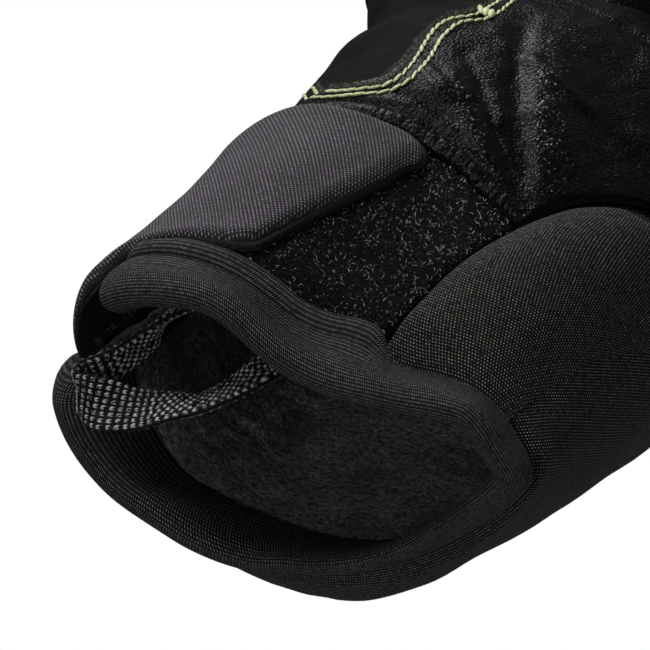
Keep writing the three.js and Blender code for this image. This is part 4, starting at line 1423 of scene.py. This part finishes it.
def strap_spot(ring, along, margin):
    """Station, place along the cuff, mm in from the edge and mm off the skin at a spot of the strap."""
    part = 0.5 - 0.5 * np.cos(math.pi * there_and_back(ring))
    tip = curves_through(STRAP_TIP, part)[:, 1] + margin / STATION_MM
    guess = blend(STRAP_LINES[0, 1], STRAP_LINES[-1, 2], part)
    root = slit_edges(guess)[1] + STRAP_ROOT_PAST
    station = blend(tip, root, along ** 1.35)
    from_tip = (station - tip) * STATION_MM
    lines = curves_through(STRAP_LINES, station)
    front = lines[:, 1] + margin + corner_cut(from_tip, STRAP_NEAR_ROUND) * 0.5
    far = lines[:, 2] - margin - corner_cut(from_tip, STRAP_FAR_ROUND)
    y = blend(front, far, part)
    edge = np.minimum(np.minimum(y - front, far - y), from_tip)
    past = station - slit_edges(y)[1] + STRAP_DIVE_FROM
    dive = STRAP_DIVE * (np.sqrt(past ** 2 + STRAP_DIVE_SOFT) + past) / 2
    return station, y, edge, blend(lines[:, 3], lines[:, 4], smooth_step(part)) - dive


def strap_layer(low, thick, margin, round_mm):
    """A flat pad with rounded rims, laid over the pile."""
    def shape(ring, along):
        station, y, edge, height = strap_spot(ring, along, margin)
        swell = ripple(skin(y, station), STRAP_LUMPS) * rise(edge, 0, 6)
        pad = (swell + thick * round_over(edge, round_mm, 0.1)) * (ring < 0.5)
        places = skin(y, station, height + low + pad)
        places[:, 2] -= hang(y, station) * fade(station - STRAP_SAG_TO, STRAP_SAG_FADE)
        return places
    return shape


def strap_pattern(margin):
    def pattern(ring, along):
        station, y = strap_spot(ring, along, margin)[:2]
        run = station * STATION_MM
        return np.stack([run * math.cos(STRAP_SLANT) - y * math.sin(STRAP_SLANT),
                         y * math.cos(STRAP_SLANT) + run * math.sin(STRAP_SLANT)], 1)
    return pattern


def strap_piece(name, low, thick, margin, round_mm, material, replaced):
    shape = strap_layer(low, thick, margin, round_mm)
    data = closed_cloth(name, 128, 110, shape, pattern=strap_pattern(margin))
    add_piece(name, data, material, replaced)


strap_piece(
    "strap_hook_layer", low=0.0, thick=1.45, margin=0.0, round_mm=0.7, material=hook_cloth,
    replaced=("strap_hook",))
strap_piece(
    "strap_upper_layer", low=1.25, thick=2.0, margin=0.85, round_mm=2.0, material=strap_cloth,
    replaced=("closure_strap",))

# Pull loop: flat webbing sewn under the upper flap at both ends, woven of coarse black and grey
# yarns. Rows: the free middle line in mm and the way its width points.
LOOP = [
    (-25.5, 9.5, 53.6, 0.6, -0.35, 0.6),
    (-27.8, 5.5, 50.2, 0.15, -0.62, 0.76),
    (-30.8, 2.0, 47.3, 0.05, -0.6, 0.8),
    (-33.5, -1.5, 45.5, 0.0, -0.4, 0.92),
    (-35.6, -4.5, 44.2, -0.05, -0.1, 1.0),
    (-34.8, -7.2, 43.4, -0.2, 0.15, 0.95),
    (-29.8, -8.4, 43.5, -0.42, 0.5, 0.75),
    (-23.5, -6.8, 43.2, -0.45, 0.83, 0.25),
    (-17.5, -4.8, 44.6, -0.46, 0.88, -0.08),
    (-13.1, -2.5, 45.3, -0.45, 0.85, -0.26),
    (-9.4, 0.8, 47.0, -0.55, 0.80, -0.24),
    (-6.0, 4.5, 49.3, -0.68, 0.70, -0.18),
    (-4.3, 8.0, 50.6, -0.75, 0.62, -0.1),
]
WEBBING_WIDTH = 9.5
WEBBING_HALF = 0.62
# Where its two ends are sewn in under the flap: stations, and mm along the cuff.
LOOP_FAR_STATION = 4.15
LOOP_NEAR_STATION = 3.1
LOOP_SEATS = (24, 18)
LOOP_SEAT_OUT = -6.55
LOOP_PLACES = 400
YARNS_ACROSS = 8
YARN_PITCH = 1.5
YARN_HIGH = 0.36
YARN_WIDE = 0.13
# Parts along the loop between which its yarns lie in line, and over how much they change.
YARNS_IN_LINE = (0.3, 0.52)
YARNS_CHANGE = (0.06, 0.1)
# How far the pattern of the loop's lower side lies from that of its upper side, in mm.
WEBBING_BACK_MM = 20


def run_along(places):
    """Length of a line up to each of its places."""
    return np.concatenate([[0], np.cumsum(np.linalg.norm(np.diff(places, axis=0), axis=1))])


def loop_seat(y, station, side):
    place = skin(y, station, LOOP_SEAT_OUT)[0]
    before, after = (skin(y, station + step * side, LOOP_SEAT_OUT)[0] for step in (-0.1, 0.1))
    wide = before - after
    return (*place, *(wide / np.linalg.norm(wide)))


loop_rows = [loop_seat(y, LOOP_FAR_STATION, 1) for y in LOOP_SEATS]
loop_rows += LOOP
loop_rows += [loop_seat(y, LOOP_NEAR_STATION, -1) for y in reversed(LOOP_SEATS)]
loop_rows = np.array([(index, *row) for index, row in enumerate(loop_rows)], dtype=float)
loop_fine = np.linspace(0, len(loop_rows) - 1, LOOP_PLACES)
loop_run = run_along(curves_through(loop_rows, loop_fine)[:, 1:4])


def webbing_stitch(around, along):
    """Height of the yarns, from 0 to 1: pairs of short strands that open into a V."""
    run = along * loop_run[-1] / YARN_PITCH
    part = there_and_back(around) * YARNS_ACROSS
    in_line = rise(along, YARNS_IN_LINE[0], YARNS_CHANGE[0]) * fade(along - YARNS_IN_LINE[1], YARNS_CHANGE[1])
    apart = 0.5 * np.mod(np.floor(part), 2) * (1 - in_line)
    lengthwise = np.mod(run + np.where(around < 0.5, 0, 0.5) + apart, 1)
    crosswise = np.mod(part, 1) - 0.5
    spread = 0.1 + 0.2 * lengthwise
    strands = sum(np.exp(-((crosswise + side * spread) / YARN_WIDE) ** 2) for side in (-1, 1))
    return np.minimum(1, strands) * np.sin(math.pi * np.clip(lengthwise * 1.3, 0, 1))


def webbing_shape(around, along):
    """A flat ring of cloth round the middle line, raised where a yarn passes over."""
    place = np.interp(along * loop_run[-1], loop_run, loop_fine)
    row = curves_through(loop_rows, place)
    before, after = (curves_through(loop_rows, place + step)[:, 1:4] for step in (-0.01, 0.01))
    ahead = unit(after - before)
    wide = unit(row[:, 4:7] - ahead * np.sum(row[:, 4:7] * ahead, axis=1)[:, None])
    flat = np.cross(ahead, wide)
    part = there_and_back(around)
    side = np.where(around < 0.5, 1.0, -1.0)
    close = np.sqrt(np.maximum(0, 1 - np.abs(2 * part - 1) ** 8))
    x = (part - 0.5) * WEBBING_WIDTH
    bulge = (WEBBING_HALF + YARN_HIGH * webbing_stitch(around, along)) * close
    return row[:, 1:4] + wide * x[:, None] + flat * (side * bulge)[:, None]


def webbing_pattern(around, along):
    across = there_and_back(around) * WEBBING_WIDTH + np.where(around < 0.5, 0, WEBBING_BACK_MM)
    return np.stack([across, along * loop_run[-1]], 1)


def webbing_cloth():
    """Pale, uneven yarns over black, with fibres along them. The higher a yarn stands the paler it is: partly
    the grey yarn's own colour, partly painted glint on its top. The high yarns also shine more.
    """
    shader = Shader("loop_webbing", roughness=0.3, specular=0.1)
    u, v = shader.flat_cloth()
    fibres = shader.wave(shader.line(v, 0.5, u), 0.17)
    uneven = shader.ramp(shader.noise(0.9, 2.0), 0.38, 0.56)
    lit = shader.times(shader.calc("POWER", shader.attribute("tone"), 1.8), uneven)
    lit = shader.times(lit, shader.line(fibres, 0.4, 0.6))
    shader.glints(lit, 1.2, 0.04)
    return shader.finish(shader.colour(lit, (0.0045, 0.0043, 0.0040), (1.0, 0.98, 0.93)), fibres, 0.04)


# The yarns' height is also their tone, which the webbing paints pale on their tops as glint.
loop_data = closed_cloth(
    "webbing_loop", 112, 620, webbing_shape, pattern=webbing_pattern, tone=webbing_stitch)
add_piece("webbing_loop", loop_data, webbing_cloth(), ("pull_loop",))

# Lime stitching: two rows of thick pale thread along the seam between the palm leather and the
# suede round the thumb.
SEAM = np.array([
    (0, 79.0, 4.86),
    (1, 73.5, 4.72),
    (2, 67.5, 4.55),
    (3, 63.4, 4.36),
    (4, 61.9, 4.21),
    (5, 61.2, 4.06),
    (6, 61.4, 3.90),
    (7, 62.6, 3.74),
    (8, 65.6, 3.64),
    (9, 68.6, 3.59),
    (10, 73.8, 3.58),
    (11, 80.4, 3.61),
    (12, 87.2, 3.64),
    (13, 94.0, 3.62),
    (14, 97.8, 3.55),
    (15, 101.0, 3.50),
    (16, 105.0, 3.49),
    (17, 110.0, 3.50),
    (18, 116.0, 3.54),
    (19, 124.0, 3.70),
    (20, 133.0, 4.12),
])
SEAM_PLACES = 500
SEAM_SMOOTHING = 6
ROW_GAP_MM = 1.85

leather_grid = bmesh.new()
leather_grid.from_mesh(leather_data)
leather_tree = BVHTree.FromBMesh(leather_grid)
leather_grid.free()


def seam_line(shift_mm):
    """Places along the seam, moved over the leather by a distance, on what lies beneath."""
    row = curves_through(SEAM, np.linspace(0, len(SEAM) - 1, SEAM_PLACES))
    flat = np.stack([row[:, 1], row[:, 2] * STATION_MM], 1)
    ahead = unit(np.gradient(flat, axis=0))
    flat = flat + np.stack([-ahead[:, 1], ahead[:, 0]], 1) * shift_mm
    y = flat[:, 0]
    station = flat[:, 1] / STATION_MM
    outward = away_from_skin(y, station)
    places = []
    for place, direction in zip(skin(y, station), outward):
        start = Vector(to_metres(place + direction * CAST_FROM))
        found = [tree.ray_cast(start, Vector(-direction), 0.05) for tree in (leather_tree, body_tree)]
        reach = min([hit[3] * 1000 for hit in found if hit[0] is not None] or [CAST_FROM])
        places.append(place + direction * (CAST_FROM - reach))
    places = np.array(places)
    for _ in range(SEAM_SMOOTHING):
        places[1:-1] = (places[:-2] + 2 * places[1:-1] + places[2:]) / 4
    return places, outward


def stitches(name, lines, pitch_mm, thread_mm, material, lift_mm=0.2, slant=0.2, seed=5):
    """Rows of short plump stitches: each is a small capsule laid along its line."""
    rng = np.random.default_rng(seed)
    grid = bmesh.new()
    for places, outward in lines:
        run = run_along(places)
        for start in np.arange(0.2, run[-1] - pitch_mm, pitch_mm):
            ends = [start, start + pitch_mm * 0.9]
            here = [np.array([np.interp(end, run, places[:, k]) for k in range(3)]) for end in ends]
            normal = np.array([np.interp(start, run, outward[:, k]) for k in range(3)])
            ahead = here[1] - here[0]
            long = np.linalg.norm(ahead)
            ahead /= long
            ahead = ahead + np.cross(normal, ahead) * slant * rng.uniform(0.5, 1.4)
            ahead /= np.linalg.norm(ahead)
            aside = np.cross(normal, ahead)
            thick = thread_mm * rng.uniform(0.85, 1.15)
            middle = (here[0] + here[1]) / 2 + normal * lift_mm
            made = bmesh.ops.create_uvsphere(grid, u_segments=8, v_segments=6, radius=0.5)
            for vert in made["verts"]:
                x, y, z = vert.co
                local = middle + aside * x * thick + normal * y * thick * 0.85 + ahead * z * long * 1.3
                vert.co = Vector(to_metres(local))
    data = bpy.data.meshes.new(name)
    grid.to_mesh(data)
    grid.free()
    data.shade_smooth()
    add_piece(name, data, material)


def cloudy_material(name, size_mm, low, high, dark, light, height_mm, **surface):
    """Plain material whose colour and height follow one noise."""
    shader = Shader(name, **surface)
    cloud = shader.noise(size_mm)
    return shader.finish(shader.colour(shader.ramp(cloud, low, high), dark, light), cloud, height_mm)


lime_thread = cloudy_material(
    "lime_thread", 0.35, 0.3, 0.7, dark=(0.30, 0.33, 0.12), light=(0.72, 0.76, 0.46), height_mm=0.08,
    roughness=0.6, sheen=0.2, specular=0.4)
seam_rows = [seam_line(0.0), seam_line(ROW_GAP_MM)]
stitches("lime_stitches", seam_rows, pitch_mm=2.5, thread_mm=0.72, material=lime_thread)

# Tack: a few thick strands of the same thread, laid over each other where the two rows close at the
# thumb crotch.
TACK_PART = (0.75, 0.835)
TACK_SHIFTS = (0.2, 1.1, 2.0)
tack_rows = []
for tack_places, tack_outward in map(seam_line, TACK_SHIFTS):
    tack_from, tack_to = (int(part * len(tack_places)) for part in TACK_PART)
    tack_rows.append((tack_places[tack_from:tack_to], tack_outward[tack_from:tack_to]))
stitches(
    "lime_tack", tack_rows, pitch_mm=3.6, thread_mm=1.25, material=lime_thread,
    lift_mm=0.6, slant=0.5, seed=8)

# Seam of the hem: one row of small black stitches all round the mouth. They sew the band to the
# shell, in the groove behind it.
HEM_SEAM_COUNT = 900
HEM_SEAM_LIFTED = 0.27
hem_around = np.linspace(0.03, 0.97, HEM_SEAM_COUNT)
hem_turn = hem_stations(hem_around)
hem_groove = hem_shape(HEM_SEAM_ACROSS + HEM_SEAM_LIFTED * lifted_share(hem_turn), hem_around)
hem_outward = away_from_skin(np.full(HEM_SEAM_COUNT, 5.0), hem_turn)
hem_thread = cloudy_material(
    "hem_thread", 0.4, 0.0, 1.0, dark=(0.004, 0.004, 0.005), light=(0.05, 0.048, 0.055), height_mm=0.05,
    roughness=0.5, specular=0.3)
stitches(
    "hem_stitches", [(hem_groove, hem_outward)], pitch_mm=1.9, thread_mm=0.55, material=hem_thread,
    slant=0.35)

# Raw edge: the leather is cut and not turned in beside the lime seam, so short pale fibres stand up
# from it.
EDGE_HAIRS = 2600
edge_rng = np.random.default_rng(23)
edge_places, edge_outward = seam_line(ROW_GAP_MM + 1.0)
edge_pick = edge_rng.integers(0, len(edge_places) - 1, EDGE_HAIRS)
edge_roots = edge_places[edge_pick] + edge_rng.normal(0, 0.3, (EDGE_HAIRS, 3))
edge_rises = unit(edge_outward[edge_pick] + edge_rng.normal(0, 0.6, (EDGE_HAIRS, 3)))
edge_side = unit(np.cross(edge_rises, edge_rng.normal(0, 1, (EDGE_HAIRS, 3))))
edge_tones = edge_rng.random(EDGE_HAIRS) ** 2
edge_data = hairs(
    "raw_edge_fuzz", edge_roots, edge_rises, edge_side, length_mm=1.0, width_mm=0.06, bend=0.8,
    tones=edge_tones, rng=edge_rng)
edge_fibre = hair_material("raw_edge", dark=(0.015, 0.016, 0.014), light=(0.30, 0.33, 0.26), roughness=0.7)
add_piece("raw_edge_fuzz", edge_data, edge_fibre)
